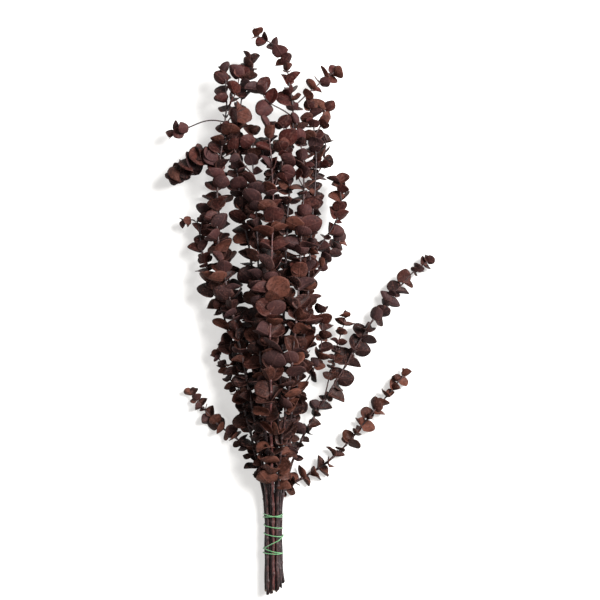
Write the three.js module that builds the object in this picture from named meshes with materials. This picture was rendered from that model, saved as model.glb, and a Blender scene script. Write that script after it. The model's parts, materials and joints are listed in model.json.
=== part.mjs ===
// A bunch of dried round-leaf eucalyptus, lying on a flat surface.
// Millimetres, +Z up. The stems run along +Y from their cut ends, and the lowest leaves touch z = 0.
// Every branch is one closed body: a tapered stem with the opposite leaf pairs that grow on it, its skin
// running on from the stem over each leaf and back.
// Side shoots are bodies of their own, and a string winds round the bundle of bare stems.
import * as THREE from 'three';

// ---- driving dimensions ----
const ORIGIN = [35, 349.3]; // middle of the bunch, seen from above, in the X and Y of its routes
const BUNDLE_HEIGHT = 15.9; // centre of the tied bundle above the surface
const BUNDLE_PITCH = 4.75; // distance between neighbouring stems where they are tied
const SPLAY = 0.3; // share by which the right-hand stems spread at their cut ends
const ROW_RISE = 4.1; // height between two rows of stems in the bundle
const TIED_Y = [36, 74, 108]; // the stems stay parallel as far as the last of these
const STEM_RADIUS = [2.05, 0.7]; // at the cut end and at the tip
const SHOOT_RADIUS = [0.9, 0.6];
const TAPER = 0.8; // a stem thins by this power of the way left to its tip
const BARE_SIDES = 6; // sides of a stem below its first leaves
const BARE_STEP = 34; // distance between the rings of that part
const LEAFY_SIDES = 4; // sides where leaves grow, one leaf to a side
const SQUARE_REACH = 1.1; // corner distance of the four-sided part, in stem radii
const KNOT_GAP = 18; // length of one straight step of a stem's axis
const NECK = 1.3; // half the length along the stem that a leaf's base takes
const SPAN_STEPS = 16; // steps in each span of the smooth route
const CLEARANCE = 0.35; // between any two branches
const LEAF_THICKNESS = 1.2; // at the middle of a leaf
const LEAF_OUTLINE = [[0, 0], [0.18, 0.46], [0.64, 0.52], [1, 0], [0.64, -0.52], [0.18, -0.46]]; // along, across
const TRIES = 10; // positions tried for a leaf before it counts as fallen
const PITCH = 66; // degrees between a leaf and its stem, at the first pair
const HANG_PITCH = 95; // the same where all leaves hang to one side
const HANG_SPREAD = 70; // degrees between the two leaves of a pair that hang to one side
const STRING_RADIUS = 0.6;
const STRING_ORBIT = 12.9; // radius of the string's centre line round the bundle
const STRING_FLARE = 0.05; // growth of that radius for each mm beyond the middle of the tied stretch
const STRING_LAYER = 1.35; // how much further out a turn lies that crosses another
const BARK = new THREE.MeshStandardMaterial({ color: 0x3a2628, roughness: 0.75, metalness: 0 });
const LEAF = new THREE.MeshStandardMaterial({ color: 0x5a3630, roughness: 0.6, metalness: 0 });
const STRING = new THREE.MeshStandardMaterial({ color: 0x50aa5a, roughness: 0.5, metalness: 0 });

// Main branches: place in the bundle (across in pitches, row up), y of the cut end, route beyond the tie,
// bare length, leaf sizes (first, middle, last), pair spacing (first, last), face_up 0..1, turn of the first pair,
// and hang, the one side that all its leaves hang to, in degrees round the stem from straight up.
const BRANCHES = [
  { name: 'long_right', place: [1.5, -1], cut: 5, bare: 165, size: [13, 22, 14], gap: [11.9, 8.1], faceUp: 0.6, turn: 90,
    route: [[21, 153, 16], [38, 197, 20], [63, 237, 22], [92, 283, 22], [117, 330, 21], [148, 368, 19], [172, 398, 16],
      [199, 418, 13]] },
  { name: 'low_right', place: [1, -2], cut: 3, bare: 112, size: [14.6, 17.9, 13.4], gap: [13.6, 11.9], faceUp: 0.42, turn: 0,
    route: [[16, 129, 9], [39, 140, 9], [68, 158, 10], [94, 182, 10], [117, 212, 10], [143, 242, 10], [166, 270, 10]] },
  { name: 'low_left', place: [-1.5, -1], cut: -4, bare: 165, size: [13, 16, 13], gap: [11, 8.5], faceUp: 0.6, turn: 0,
    route: [[-17, 150, 13], [-31, 178, 13], [-50, 192, 12], [-72, 208, 11], [-87, 225, 10], [-99, 240, 10], [-106, 250, 10]] },
  { name: 'left_column', place: [-2, 0], cut: -3, bare: 145, size: [16.8, 23.5, 17.9], gap: [14.4, 11.9], faceUp: 0.42, turn: 20,
    route: [[-21, 164, 24], [-34, 221, 30], [-46, 278, 33], [-59, 341, 33], [-77, 389, 32], [-91, 427, 30], [-94, 457, 28],
      [-82, 482, 26]] },
  { name: 'left_tall', place: [-1.5, 1], cut: -6, bare: 150, size: [16.8, 23.5, 15.7], gap: [14.4, 11.9], faceUp: 0.42, turn: 60,
    route: [[-14, 165, 38], [-26, 235, 48], [-40, 304, 52], [-56, 379, 52], [-71, 441, 50], [-70, 503, 50], [-63, 566, 50],
      [-56, 611, 48], [-61, 659, 45]] },
  { name: 'left_inner', place: [-1, 0], cut: -5, bare: 175, size: [15.7, 23.5, 16.8], gap: [15.3, 11.9], faceUp: 0.38, turn: 0,
    route: [[-9, 164, 26], [-15, 241, 36], [-18, 316, 40], [-23, 391, 42], [-32, 443, 42], [-43, 503, 42], [-48, 550, 42],
      [-44, 592, 42], [-36, 635, 40], [-30, 667, 38]] },
  { name: 'left_low', place: [-1, -2], cut: -7, bare: 220, size: [16.8, 23.5, 16.8], gap: [17.8, 15.3], faceUp: 0.34, turn: 15,
    route: [[-15, 162, 9], [-27, 226, 12], [-38, 290, 14], [-48, 354, 14], [-64, 417, 14], [-74, 487, 14], [-70, 544, 14],
      [-60, 582, 14]] },
  { name: 'centre_left', place: [-0.5, 1], cut: -6, bare: 145, size: [17.9, 24.6, 17.9], gap: [14.4, 11.9], faceUp: 0.42, turn: 30,
    route: [[-6, 166, 44], [-13, 242, 60], [-17, 329, 66], [-17, 403, 66], [-20, 471, 64], [-25, 533, 62], [-25, 565, 58],
      [-24, 578, 54]] },
  { name: 'centre_top', place: [0, 2], cut: -1, bare: 136, size: [27, 25, 19], gap: [14.4, 11.9], faceUp: 0.5, turn: 100,
    route: [[-2, 180, 58], [-2, 256, 78], [-3, 330, 84], [-3, 391, 84], [1, 452, 80], [1, 514, 76], [-3, 555, 72], [-5, 585, 70]] },
  { name: 'centre_low', place: [-0.5, -1], cut: -4, bare: 210, size: [17.9, 23.5, 16.8], gap: [17.8, 15.3], faceUp: 0.34, turn: 50,
    route: [[-2, 163, 15], [-2, 239, 18], [1, 316, 20], [3, 392, 22], [3, 468, 22], [-2, 531, 22], [-9, 575, 22]] },
  { name: 'centre_tall', place: [0.5, 1], cut: -3, bare: 155, size: [16.8, 23.5, 15.7], gap: [14.4, 11.9], faceUp: 0.42, turn: 80,
    route: [[4, 178, 40], [9, 254, 54], [14, 341, 60], [16, 428, 60], [21, 515, 60], [25, 577, 58], [26, 605, 56], [21, 627, 56],
      [19, 652, 54], [10, 678, 52], [-6, 689, 51], [-19, 693, 50], [-24, 707, 48]] },
  { name: 'centre_right', place: [1, 2], cut: 0, bare: 135, size: [17.9, 24.6, 17.9], gap: [14.4, 11.9], faceUp: 0.42, turn: 40,
    route: [[9, 180, 56], [20, 255, 72], [29, 329, 78], [33, 403, 76], [37, 471, 72], [40, 526, 70], [34, 566, 66], [29, 587, 62]] },
  { name: 'right_inner', place: [1.5, 1], cut: 3, bare: 155, size: [16.8, 23.5, 16.8], gap: [14.4, 11.9], faceUp: 0.42, turn: 0,
    route: [[14, 178, 42], [29, 254, 54], [41, 329, 58], [45, 403, 58], [49, 472, 57], [55, 528, 56], [52, 578, 53], [45, 612, 50]] },
  { name: 'right_outer', place: [2, 0], cut: 8, bare: 165, size: [15.7, 22.4, 16.8], gap: [14.4, 11], faceUp: 0.42, turn: 70,
    route: [[19, 177, 26], [33, 253, 32], [40, 329, 34], [39, 378, 35], [44, 410, 36], [58, 436, 34], [79, 460, 34], [88, 490, 32],
      [82, 519, 32]] },
  { name: 'right_low', place: [0.5, -1], cut: -1, bare: 210, size: [16.8, 23.5, 16.8], gap: [17.8, 15.3], faceUp: 0.34, turn: 15,
    route: [[10, 175, 14], [22, 252, 16], [32, 328, 18], [38, 404, 20], [43, 480, 20], [53, 544, 20], [59, 574, 20]] },
];

// Side shoots: the branch that each grows from, and its route from the fork.
const SHOOTS = [
  { name: 'top_right', parent: 'centre_tall', bare: 18, size: [15, 18, 15], gap: [12, 10], faceUp: 0.42, turn: 0,
    route: [[26, 606, 56], [41, 620, 54], [56, 635, 52], [69, 645, 50], [80, 652, 50]] },
  { name: 'top_left', parent: 'centre_tall', bare: 30, size: [20, 25, 18], gap: [10, 8], faceUp: 0.75, turn: 90,
    route: [[25, 593, 57], [9, 604, 60], [-6, 611, 60], [-13, 621, 58], [-17, 635, 56]] },
  { name: 'left_tip', parent: 'left_tall', bare: 48, size: [15.7, 17.9, 13.4], gap: [11, 10.2], faceUp: 0.51, turn: 0,
    route: [[-59, 588, 49], [-76, 593, 42], [-94, 588, 38], [-112, 581, 35], [-129, 577, 32]] },
  { name: 'left_arc', parent: 'left_tall', bare: 4, size: [21, 27, 26], gap: [9, 8.5], faceUp: 0.7, turn: 20, hang: -90,
    route: [[-66, 543, 50], [-76, 557, 46], [-91, 556, 41], [-107, 546, 36], [-121, 535, 32], [-132, 527, 28]] },
  { name: 'left_twig', parent: 'left_column', bare: 8, size: [12.3, 13.4, 12.3], gap: [10.2, 10.2], faceUp: 0.51, turn: 0,
    route: [[-92, 444, 30], [-95, 460, 28], [-101, 470, 26], [-113, 465, 22]] },
  { name: 'left_small', parent: 'left_column', bare: 10, size: [14.6, 15.7, 13.4], gap: [10.2, 7.6], faceUp: 0.59, turn: 0,
    route: [[-36, 230, 30], [-50, 258, 26], [-62, 280, 22], [-74, 300, 20]] },
  { name: 'right_middle', parent: 'right_outer', bare: 20, size: [16.8, 20.2, 16.8], gap: [11.9, 10.2], faceUp: 0.42, turn: 30,
    route: [[34, 250, 32], [49, 273, 33], [60, 301, 34], [63, 329, 34], [60, 354, 34]] },
  { name: 'right_fork', parent: 'long_right', bare: 24, size: [13, 14, 15], gap: [11.9, 10.2], faceUp: 0.4, turn: 80,
    route: [[62, 235, 22], [73, 275, 27], [80, 308, 28], [87, 328, 28], [92, 349, 28]] },
  { name: 'right_twig', parent: 'right_outer', bare: 14, size: [15.7, 17.9, 14.6], gap: [11, 10.2], faceUp: 0.51, turn: 80,
    route: [[49, 398, 35], [64, 414, 30], [77, 429, 26], [89, 450, 24]] },
  { name: 'left_crown', parent: 'left_tall', bare: 8, size: [20, 24, 18], gap: [11, 9], faceUp: 0.7, turn: 40,
    route: [[-56, 604, 48], [-48, 618, 52], [-43, 634, 54], [-42, 648, 52]] },
  { name: 'middle_crown', parent: 'centre_left', bare: 10, size: [18, 22, 17], gap: [12, 10], faceUp: 0.5, turn: 0,
    route: [[-29, 520, 62], [-44, 544, 58], [-55, 566, 54], [-58, 588, 50]] },
  { name: 'right_crown', parent: 'right_inner', bare: 10, size: [17, 22, 18], gap: [12, 10], faceUp: 0.6, turn: 60,
    route: [[53, 572, 53], [60, 583, 50], [64, 596, 46], [65, 608, 42]] },
  { name: 'centre_fork', parent: 'centre_right', bare: 12, size: [17, 21, 16], gap: [12, 10], faceUp: 0.5, turn: 20,
    route: [[38, 505, 70], [24, 530, 72], [14, 552, 70], [10, 572, 66]] },
  { name: 'left_fill', parent: 'left_tall', bare: 10, size: [18, 20, 16], gap: [11, 9], faceUp: 0.7, turn: 10,
    route: [[-61, 582, 50], [-52, 594, 55], [-43, 601, 57], [-35, 604, 57]] },
  { name: 'centre_crown', parent: 'centre_top', bare: 10, size: [20, 23, 18], gap: [12, 10], faceUp: 0.6, turn: 70,
    route: [[1, 500, 77], [11, 528, 76], [16, 556, 74], [13, 584, 70]] },
  { name: 'right_fill', parent: 'right_inner', bare: 8, size: [17, 20, 16], gap: [11, 9], faceUp: 0.6, turn: 30,
    route: [[53, 518, 56], [62, 535, 54], [66, 552, 50], [66, 568, 46]] },
];

// Turns of the string: y on the left and on the right of the bundle's upper side, and whether it lies over another turn.
const TURNS = [
  { left: 95, right: 90.6, over: 0 }, { left: 90.6, right: 95, over: 1 }, { left: 80.5, right: 76.7, over: 0 },
  { left: 70, right: 65.8, over: 0 }, { left: 49.5, right: 68.7, over: 1 }, { left: 51.5, right: 44.6, over: 0 },
  { left: 45.6, right: 45.2, over: 1 },
];

// ---- small vector helpers ----
const UP = new THREE.Vector3(0, 0, 1);
const vec = (p) => new THREE.Vector3(p[0], p[1], p[2]);
const add = (a, b, k = 1) => a.clone().addScaledVector(b, k);
const sub = (a, b) => a.clone().sub(b);
const cross = (a, b) => new THREE.Vector3().crossVectors(a, b);
const mix = (a, b, t) => a.clone().multiplyScalar(1 - t).addScaledVector(b, t);
const clamp = (v, lo, hi) => Math.min(hi, Math.max(lo, v));
const radians = (deg) => (deg * Math.PI) / 180;

// A repeatable number from 0 to 1 for one property of one leaf.
function chance(branch, leaf, property) {
  const v = Math.sin(branch * 127.1 + leaf * 311.7 + property * 74.7) * 43758.5453;
  return v - Math.floor(v);
}

// ---- stems ----
// The uniform cubic B-spline of a route, which starts and stops at its end points.
function smoothRoute(points) {
  const p = points.map(vec);
  const n = p.length;
  const e = [mix(p[0], p[1], -1), ...p, mix(p[n - 1], p[n - 2], -1)];
  const line = [];
  for (let i = 0; i < n - 1; i++) {
    for (let k = 0; k < SPAN_STEPS; k++) {
      const t = k / SPAN_STEPS;
      const w = [(1 - t) ** 3, 3 * t ** 3 - 6 * t * t + 4, -3 * t ** 3 + 3 * t * t + 3 * t + 1, t ** 3];
      const q = new THREE.Vector3();
      w.forEach((weight, m) => q.addScaledVector(e[i + m], weight / 6));
      line.push(q);
    }
  }
  line.push(p[n - 1].clone());
  return line;
}

function lengthsAlong(line) {
  const s = [0];
  for (let i = 1; i < line.length; i++) s.push(s[i - 1] + line[i].distanceTo(line[i - 1]));
  return s;
}

function pointAt(line, lengths, s) {
  let i = 0;
  while (i < line.length - 2 && lengths[i + 1] < s) i++;
  const w = (s - lengths[i]) / (lengths[i + 1] - lengths[i]);
  return { point: mix(line[i], line[i + 1], w), tangent: sub(line[i + 1], line[i]).normalize() };
}

// Equal straight steps along a smooth line.
function knotsOf(line) {
  const lengths = lengthsAlong(line);
  const total = lengths[lengths.length - 1];
  const steps = Math.max(2, Math.ceil(total / KNOT_GAP));
  return Array.from({ length: steps + 1 }, (_, k) => pointAt(line, lengths, (total * k) / steps).point);
}

const radiusAt = ([first, last], f) => last + (first - last) * (1 - f) ** TAPER;

function closestOnSegment(a, b, p) {
  const ab = sub(b, a);
  const t = clamp(sub(p, a).dot(ab) / ab.lengthSq(), 0, 1);
  return { t, point: add(a, ab, t) };
}

// A shoot starts just clear of its parent's bark, on the line from the parent's axis to its second point.
function shootStart(parent, route, radius) {
  let best = null;
  for (let i = 0; i < parent.knots.length - 1; i++) {
    const near = closestOnSegment(parent.knots[i], parent.knots[i + 1], vec(route[0]));
    const distance = near.point.distanceTo(vec(route[0]));
    if (best && distance >= best.distance) continue;
    const tangent = sub(parent.knots[i + 1], parent.knots[i]).normalize();
    best = { distance, point: near.point, tangent, radius: Math.max(parent.radii[i], parent.radii[i + 1]) };
  }
  const way = sub(vec(route[1]), best.point).normalize();
  const along = Math.abs(way.dot(best.tangent));
  const across = Math.sqrt(1 - along * along);
  const start = add(best.point, way, (best.radius + CLEARANCE + radius * along) / across);
  return [start.toArray(), ...route.slice(1)];
}

function makeStem(spec, index, parent) {
  const shoot = Boolean(parent);
  const radii = shoot ? SHOOT_RADIUS : STEM_RADIUS;
  let route;
  if (shoot) {
    route = shootStart(parent, spec.route, radii[0]);
  } else {
    const x = spec.place[0] * BUNDLE_PITCH;
    const z = BUNDLE_HEIGHT + spec.place[1] * ROW_RISE;
    route = [[x + SPLAY * Math.max(0, x), spec.cut, z], ...TIED_Y.map((y) => [x, y, z]), ...spec.route];
  }
  const line = smoothRoute(route);
  const knots = knotsOf(line);
  return {
    spec,
    index,
    name: (shoot ? 'shoot_' : 'branch_') + spec.name,
    knots,
    ends: radii,
    radii: knots.map((_, k) => radiusAt(radii, k / (knots.length - 1)) * SQUARE_REACH),
    leaves: [],
  };
}

// ---- leaves ----
const sizeAt = ([first, middle, last], f) =>
  f < 0.5 ? first + (middle - first) * Math.sin(f * Math.PI) : last + (middle - last) * Math.sin((1 - f) * Math.PI);

// A leaf as a thin lens over a six-sided outline, folded along its midrib and curled towards its tip.
// It points away from the stem at an angle of pitch, on the side given by turn, and faceUp rolls it level.
function makeLeaf(point, tangent, turn, pitch, faceUp, length, fold, curl) {
  const normal = sub(UP, tangent.clone().multiplyScalar(UP.dot(tangent))).normalize();
  const side = cross(tangent, normal);
  const out = normal.multiplyScalar(Math.cos(turn)).addScaledVector(side, Math.sin(turn));
  const axis = tangent.clone().multiplyScalar(Math.cos(pitch)).addScaledVector(out, Math.sin(pitch));
  let face = tangent.clone().multiplyScalar(Math.sin(pitch)).addScaledVector(out, -Math.cos(pitch));
  const level = sub(UP, axis.clone().multiplyScalar(UP.dot(axis)));
  if (level.length() > 0.05) {
    level.normalize();
    if (face.dot(level) < 0) level.negate();
    face = mix(face, level, faceUp).normalize();
  }
  const across = cross(face, axis);
  const corners = LEAF_OUTLINE.map(([u, v]) => {
    const w = Math.abs(v) * length;
    return add(add(add(point, axis, u * length), across, Math.sign(v) * w * Math.cos(fold)), face,
      w * Math.sin(fold) - curl * length * u * u);
  });
  const middle = add(add(point, axis, 0.5 * length), face, -0.25 * curl * length);
  corners.push(add(middle, face, LEAF_THICKNESS / 2), add(middle, face, -LEAF_THICKNESS / 2));
  return { corners, frame: [axis, across, face], turn, length };
}

// A leaf that would pass through the surface is pressed flat on it.
function pressOnSurface(leaf) {
  for (const c of leaf.corners) c.z = Math.max(c.z, 0);
  const [upper, lower] = leaf.frame[2].z >= 0 ? [leaf.corners[6], leaf.corners[7]] : [leaf.corners[7], leaf.corners[6]];
  upper.z = Math.max(upper.z, lower.z + LEAF_THICKNESS * 0.8);
}

// The leaf's hull also takes in its base on the stem.
function measureLeaf(leaf, point, tangent, girth) {
  leaf.hull = [...leaf.corners];
  for (const along of [NECK, -NECK]) {
    for (const beside of [girth, -girth]) leaf.hull.push(add(add(point, tangent, along), leaf.frame[1], beside));
  }
  const box = new THREE.Box3().setFromPoints(leaf.corners);
  leaf.centre = box.getCenter(new THREE.Vector3());
  leaf.reach = Math.max(...leaf.hull.map((c) => c.distanceTo(leaf.centre)));
}

// The widest gap between two point sets along any of the given directions, each set grown by its own margin.
function widestGap(directions, setA, setB, marginB = 0) {
  let widest = -Infinity;
  for (const d of directions) {
    const n = d.length();
    if (n < 1e-6) continue;
    const a = setA.map((p) => p.dot(d) / n);
    const b = setB.map((p) => p.dot(d) / n);
    widest = Math.max(widest, Math.min(...b) - marginB - Math.max(...a), Math.min(...a) - Math.max(...b) - marginB);
  }
  return widest;
}

function clearOfStems(leaf, own, stems) {
  for (const stem of stems) {
    if (stem === own) continue;
    for (let k = 0; k < stem.knots.length - 1; k++) {
      const [a, b] = [stem.knots[k], stem.knots[k + 1]];
      const radius = Math.max(stem.radii[k], stem.radii[k + 1]);
      if (closestOnSegment(a, b, leaf.centre).point.distanceTo(leaf.centre) >= leaf.reach + radius + CLEARANCE) continue;
      const ab = sub(b, a);
      const between = sub(mix(a, b, 0.5), leaf.centre);
      const directions = [...leaf.frame, ...leaf.frame.map((f) => cross(ab, f)), between,
        cross(ab, cross(between, ab)), cross(leaf.frame[2], cross(ab, leaf.frame[2]))];
      if (widestGap(directions, leaf.hull, [a, b], radius) < CLEARANCE) return false;
    }
  }
  return true;
}

function clearOfLeaves(leaf, stems) {
  for (const stem of stems) {
    for (const other of stem.leaves) {
      if (other.pair === leaf.pair && stem === leaf.stem) continue;
      if (other.centre.distanceTo(leaf.centre) >= other.reach + leaf.reach + CLEARANCE) continue;
      const [a, b, c] = leaf.frame;
      const [d, e, f] = other.frame;
      const crease = cross(c, f);
      const directions = [a, b, c, d, e, f, sub(other.centre, leaf.centre), cross(a, d), cross(a, e), cross(b, d),
        cross(b, e), cross(c, crease), cross(f, crease), crease];
      if (widestGap(directions, leaf.hull, other.hull) < CLEARANCE) return false;
    }
  }
  return true;
}

// Opposite pairs, each turned about a quarter from the last, every leaf in the first free position tried.
function growLeaves(stem, stems) {
  const { spec, knots, index } = stem;
  const lengths = lengthsAlong(knots);
  const total = lengths[lengths.length - 1];
  let turn = radians(spec.turn);
  let s = spec.bare;
  for (let pair = 0; s < total; pair++) {
    const f = (s - spec.bare) / Math.max(total - spec.bare, 1);
    const at = Math.min(s, total - 2 * NECK);
    const { point, tangent } = pointAt(knots, lengths, at);
    for (const half of [0, 1]) {
      const id = 2 * pair + half;
      for (let attempt = 0; attempt < TRIES; attempt++) {
        const loose = attempt / TRIES;
        const roll = (property) => chance(index, id, property + 10 * attempt);
        const length = sizeAt(spec.size, f) * (0.84 + 0.32 * chance(index, id, 1)) * (1 - 0.25 * loose);
        const side = spec.hang === undefined ? turn + half * Math.PI : radians(spec.hang + (half - 0.5) * HANG_SPREAD);
        let angle = side + (roll(2) - 0.5) * (0.7 + 1.2 * loose);
        const usual = spec.hang === undefined ? PITCH : HANG_PITCH;
        const pitch = radians(usual + (roll(3) - 0.5) * (40 + 40 * loose) - 16 * f);
        const faceUp = clamp(spec.faceUp * (0.3 + 1.4 * roll(4)), 0, 0.96);
        const fold = radians(4 + 50 * roll(5) ** 2);
        const curl = -0.06 + 0.26 * roll(6);
        const room = (point.z - 1.5) / Math.max(length * Math.sin(pitch), 1e-3);
        if (-Math.cos(angle) > room) angle = Math.acos(clamp(-room, -1, 1)) * (Math.sin(angle) < 0 ? -1 : 1);
        const leaf = makeLeaf(point, tangent, angle, pitch, faceUp, length, fold, curl);
        const lowest = Math.min(...leaf.corners.map((c) => c.z));
        if (lowest < -1.5 && attempt < TRIES - 3) continue;
        if (lowest < 0) pressOnSurface(leaf);
        Object.assign(leaf, { stem, pair, s: at });
        measureLeaf(leaf, point, tangent, radiusAt(stem.ends, at / total) * SQUARE_REACH);
        if (!clearOfStems(leaf, stem, stems) || !clearOfLeaves(leaf, stems)) continue;
        stem.leaves.push(leaf);
        break;
      }
    }
    turn += Math.PI / 2 + (chance(index, pair, 108) - 0.5) * 0.6;
    s += (spec.gap[0] + (spec.gap[1] - spec.gap[0]) * f) * (0.85 + 0.3 * chance(index, pair, 109));
  }
}

// ---- solids ----
// Points and triangles of one closed skin, built up ring by ring.
class Skin {
  positions = [];
  index = [];

  point(p) {
    this.positions.push(p.x, p.y, p.z);
    return this.positions.length / 3 - 1;
  }

  triangle(a, b, c) {
    this.index.push(a, b, c);
  }

  // A ring round the stem's axis, its first corner half a side before the given angle.
  ring({ point, tangent }, radius, sides, angle) {
    const normal = sub(UP, tangent.clone().multiplyScalar(UP.dot(tangent))).normalize();
    const side = cross(tangent, normal);
    return Array.from({ length: sides }, (_, j) => {
      const a = angle + ((j - 0.5) * 2 * Math.PI) / sides;
      return this.point(add(add(point, normal, Math.cos(a) * radius), side, Math.sin(a) * radius));
    });
  }

  // A band of triangles between two rings, which may have different numbers of corners.
  band(a, b) {
    let [i, j] = [0, 0];
    while (i < a.length || j < b.length) {
      const [pa, pb] = [a[i % a.length], b[j % b.length]];
      if (j === b.length || (i < a.length && (i + 1) / a.length <= (j + 1) / b.length)) {
        this.triangle(pa, a[++i % a.length], pb);
      } else {
        this.triangle(pa, b[++j % b.length], pb);
      }
    }
  }

  cap(ring, forward) {
    for (let i = 1; i < ring.length - 1; i++) {
      if (forward) this.triangle(ring[0], ring[i], ring[i + 1]);
      else this.triangle(ring[0], ring[i + 1], ring[i]);
    }
  }

  // A leaf in place of one side between two rings: over it from the further edge, under it from the nearer.
  leaf(leaf, near, far) {
    const at = (i) => new THREE.Vector3().fromArray(this.positions, 3 * i);
    const forward = sub(at(far[1]), at(far[0])).dot(leaf.frame[1]) > 0;
    const sign = leaf.frame[2].dot(sub(at(far[0]), at(near[0]))) >= 0;
    // rim from the base's first corner round the tip to its second
    const order = forward ? [5, 4, 3, 2, 1] : [1, 2, 3, 4, 5];
    const rim = order.map((i) => this.point(leaf.corners[i]));
    const [over, under] = (sign ? [6, 7] : [7, 6]).map((i) => this.point(leaf.corners[i]));
    const upper = [far[0], ...rim, far[1]];
    const lower = [near[0], ...rim, near[1]];
    for (let i = 0; i < upper.length; i++) {
      const next = (i + 1) % upper.length;
      this.triangle(over, upper[i], upper[next]);
      this.triangle(under, lower[next], lower[i]);
    }
    this.triangle(far[0], near[0], rim[0]);
    this.triangle(near[1], far[1], rim[rim.length - 1]);
  }

  mesh(name, material) {
    const geometry = new THREE.BufferGeometry();
    geometry.setAttribute('position', new THREE.Float32BufferAttribute(this.positions, 3));
    geometry.setIndex(this.index);
    geometry.computeVertexNormals();
    const mesh = new THREE.Mesh(geometry, material);
    mesh.name = name;
    return mesh;
  }
}

// The pairs of a stem in order, each with the leaves that found a place.
function pairsOf(stem) {
  const pairs = new Map();
  for (const leaf of stem.leaves) pairs.set(leaf.pair, [...(pairs.get(leaf.pair) ?? []), leaf]);
  return [...pairs.values()];
}

function branchMesh(stem) {
  const skin = new Skin();
  const lengths = lengthsAlong(stem.knots);
  const total = lengths[lengths.length - 1];
  const place = (s) => pointAt(stem.knots, lengths, s);
  const radius = (s) => radiusAt(stem.ends, s / total);
  const quarter = Math.PI / 2;
  const pairs = pairsOf(stem);
  const firstPair = pairs[0][0].s - 4 * NECK;
  const bareSteps = Math.max(1, Math.ceil(firstPair / BARE_STEP));
  let last = null;
  for (let k = 0; k < bareSteps; k++) {
    const s = (firstPair * k) / bareSteps;
    const ring = skin.ring(place(s), radius(s), BARE_SIDES, 0);
    if (last) skin.band(last, ring);
    else skin.cap(ring, false);
    last = ring;
  }
  let angle = 0;
  for (const leaves of pairs) {
    angle += leaves[0].turn - angle - quarter * Math.round((leaves[0].turn - angle) / quarter);
    const s = leaves[0].s;
    const near = skin.ring(place(s - NECK), radius(s) * SQUARE_REACH, LEAFY_SIDES, angle);
    const far = skin.ring(place(s + NECK), radius(s) * SQUARE_REACH, LEAFY_SIDES, angle);
    skin.band(last, near);
    const bySide = new Map();
    for (const leaf of leaves) {
      let side = (Math.round((leaf.turn - angle) / quarter) % 4 + 4) % 4;
      if (bySide.has(side)) side = (side + 1) % 4;
      bySide.set(side, leaf);
    }
    for (let j = 0; j < LEAFY_SIDES; j++) {
      const next = (j + 1) % LEAFY_SIDES;
      if (bySide.has(j)) {
        skin.leaf(bySide.get(j), [near[j], near[next]], [far[j], far[next]]);
      } else {
        skin.triangle(near[j], near[next], far[next]);
        skin.triangle(near[j], far[next], far[j]);
      }
    }
    last = far;
  }
  skin.cap(last, true);
  return skin.mesh(stem.name, LEAF);
}

// One length of string wound round the bundle, from the outermost turn to the one nearest the cut ends.
function stringMesh() {
  const path = [];
  const point = (angle, y, over) => {
    const r = STRING_ORBIT + over * STRING_LAYER + STRING_FLARE * Math.max(0, y - TIED_Y[1]);
    return new THREE.Vector3(-Math.cos(angle) * r, y, BUNDLE_HEIGHT + Math.sin(angle) * r);
  };
  TURNS.forEach((turn, n) => {
    const next = TURNS[n + 1];
    for (let k = 0; k < 6; k++) path.push(point((k / 6) * Math.PI, turn.left + ((turn.right - turn.left) * k) / 6, turn.over));
    if (!next) return;
    for (let k = 0; k < 6; k++) {
      const over = k < 5 ? turn.over : (turn.over + next.over) / 2;
      path.push(point(Math.PI * (1 + k / 6), turn.right + ((next.left - turn.right) * k) / 6, over));
    }
  });
  const section = new THREE.Shape();
  section.absarc(0, 0, STRING_RADIUS, 0, 2 * Math.PI, false);
  const curve = new THREE.CatmullRomCurve3(path, false, 'centripetal');
  const geometry = new THREE.ExtrudeGeometry(section, { steps: 90, bevelEnabled: false, extrudePath: curve, curveSegments: 3 });
  const mesh = new THREE.Mesh(geometry, STRING);
  mesh.name = 'tie_string';
  return mesh;
}

// ---- assembly ----
const mains = BRANCHES.map((spec, i) => makeStem(spec, i + 1, null));
const shoots = SHOOTS.map((spec, i) => makeStem(spec, BRANCHES.length + i + 1, mains.find((m) => m.spec.name === spec.parent)));
const stems = [...mains, ...shoots];
const height = (stem) => Math.max(...stem.knots.map((k) => k.z));
for (const stem of [...stems].sort((a, b) => height(b) - height(a))) growLeaves(stem, stems);

const group = new THREE.Group();
for (const stem of stems) group.add(branchMesh(stem));
group.add(stringMesh());
group.position.set(-ORIGIN[0], -ORIGIN[1], 0);

export default group;
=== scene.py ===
"""A bunch of dried round-leaf eucalyptus, bound with green string and laid on a pale floor.

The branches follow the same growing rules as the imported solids: a smooth route for every stem, and pairs
of opposite leaves that keep clear of every other branch. Lengths are in millimetres until a mesh is made.
"""
import json
import logging
import math
from dataclasses import dataclass, field
from enum import Enum

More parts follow.
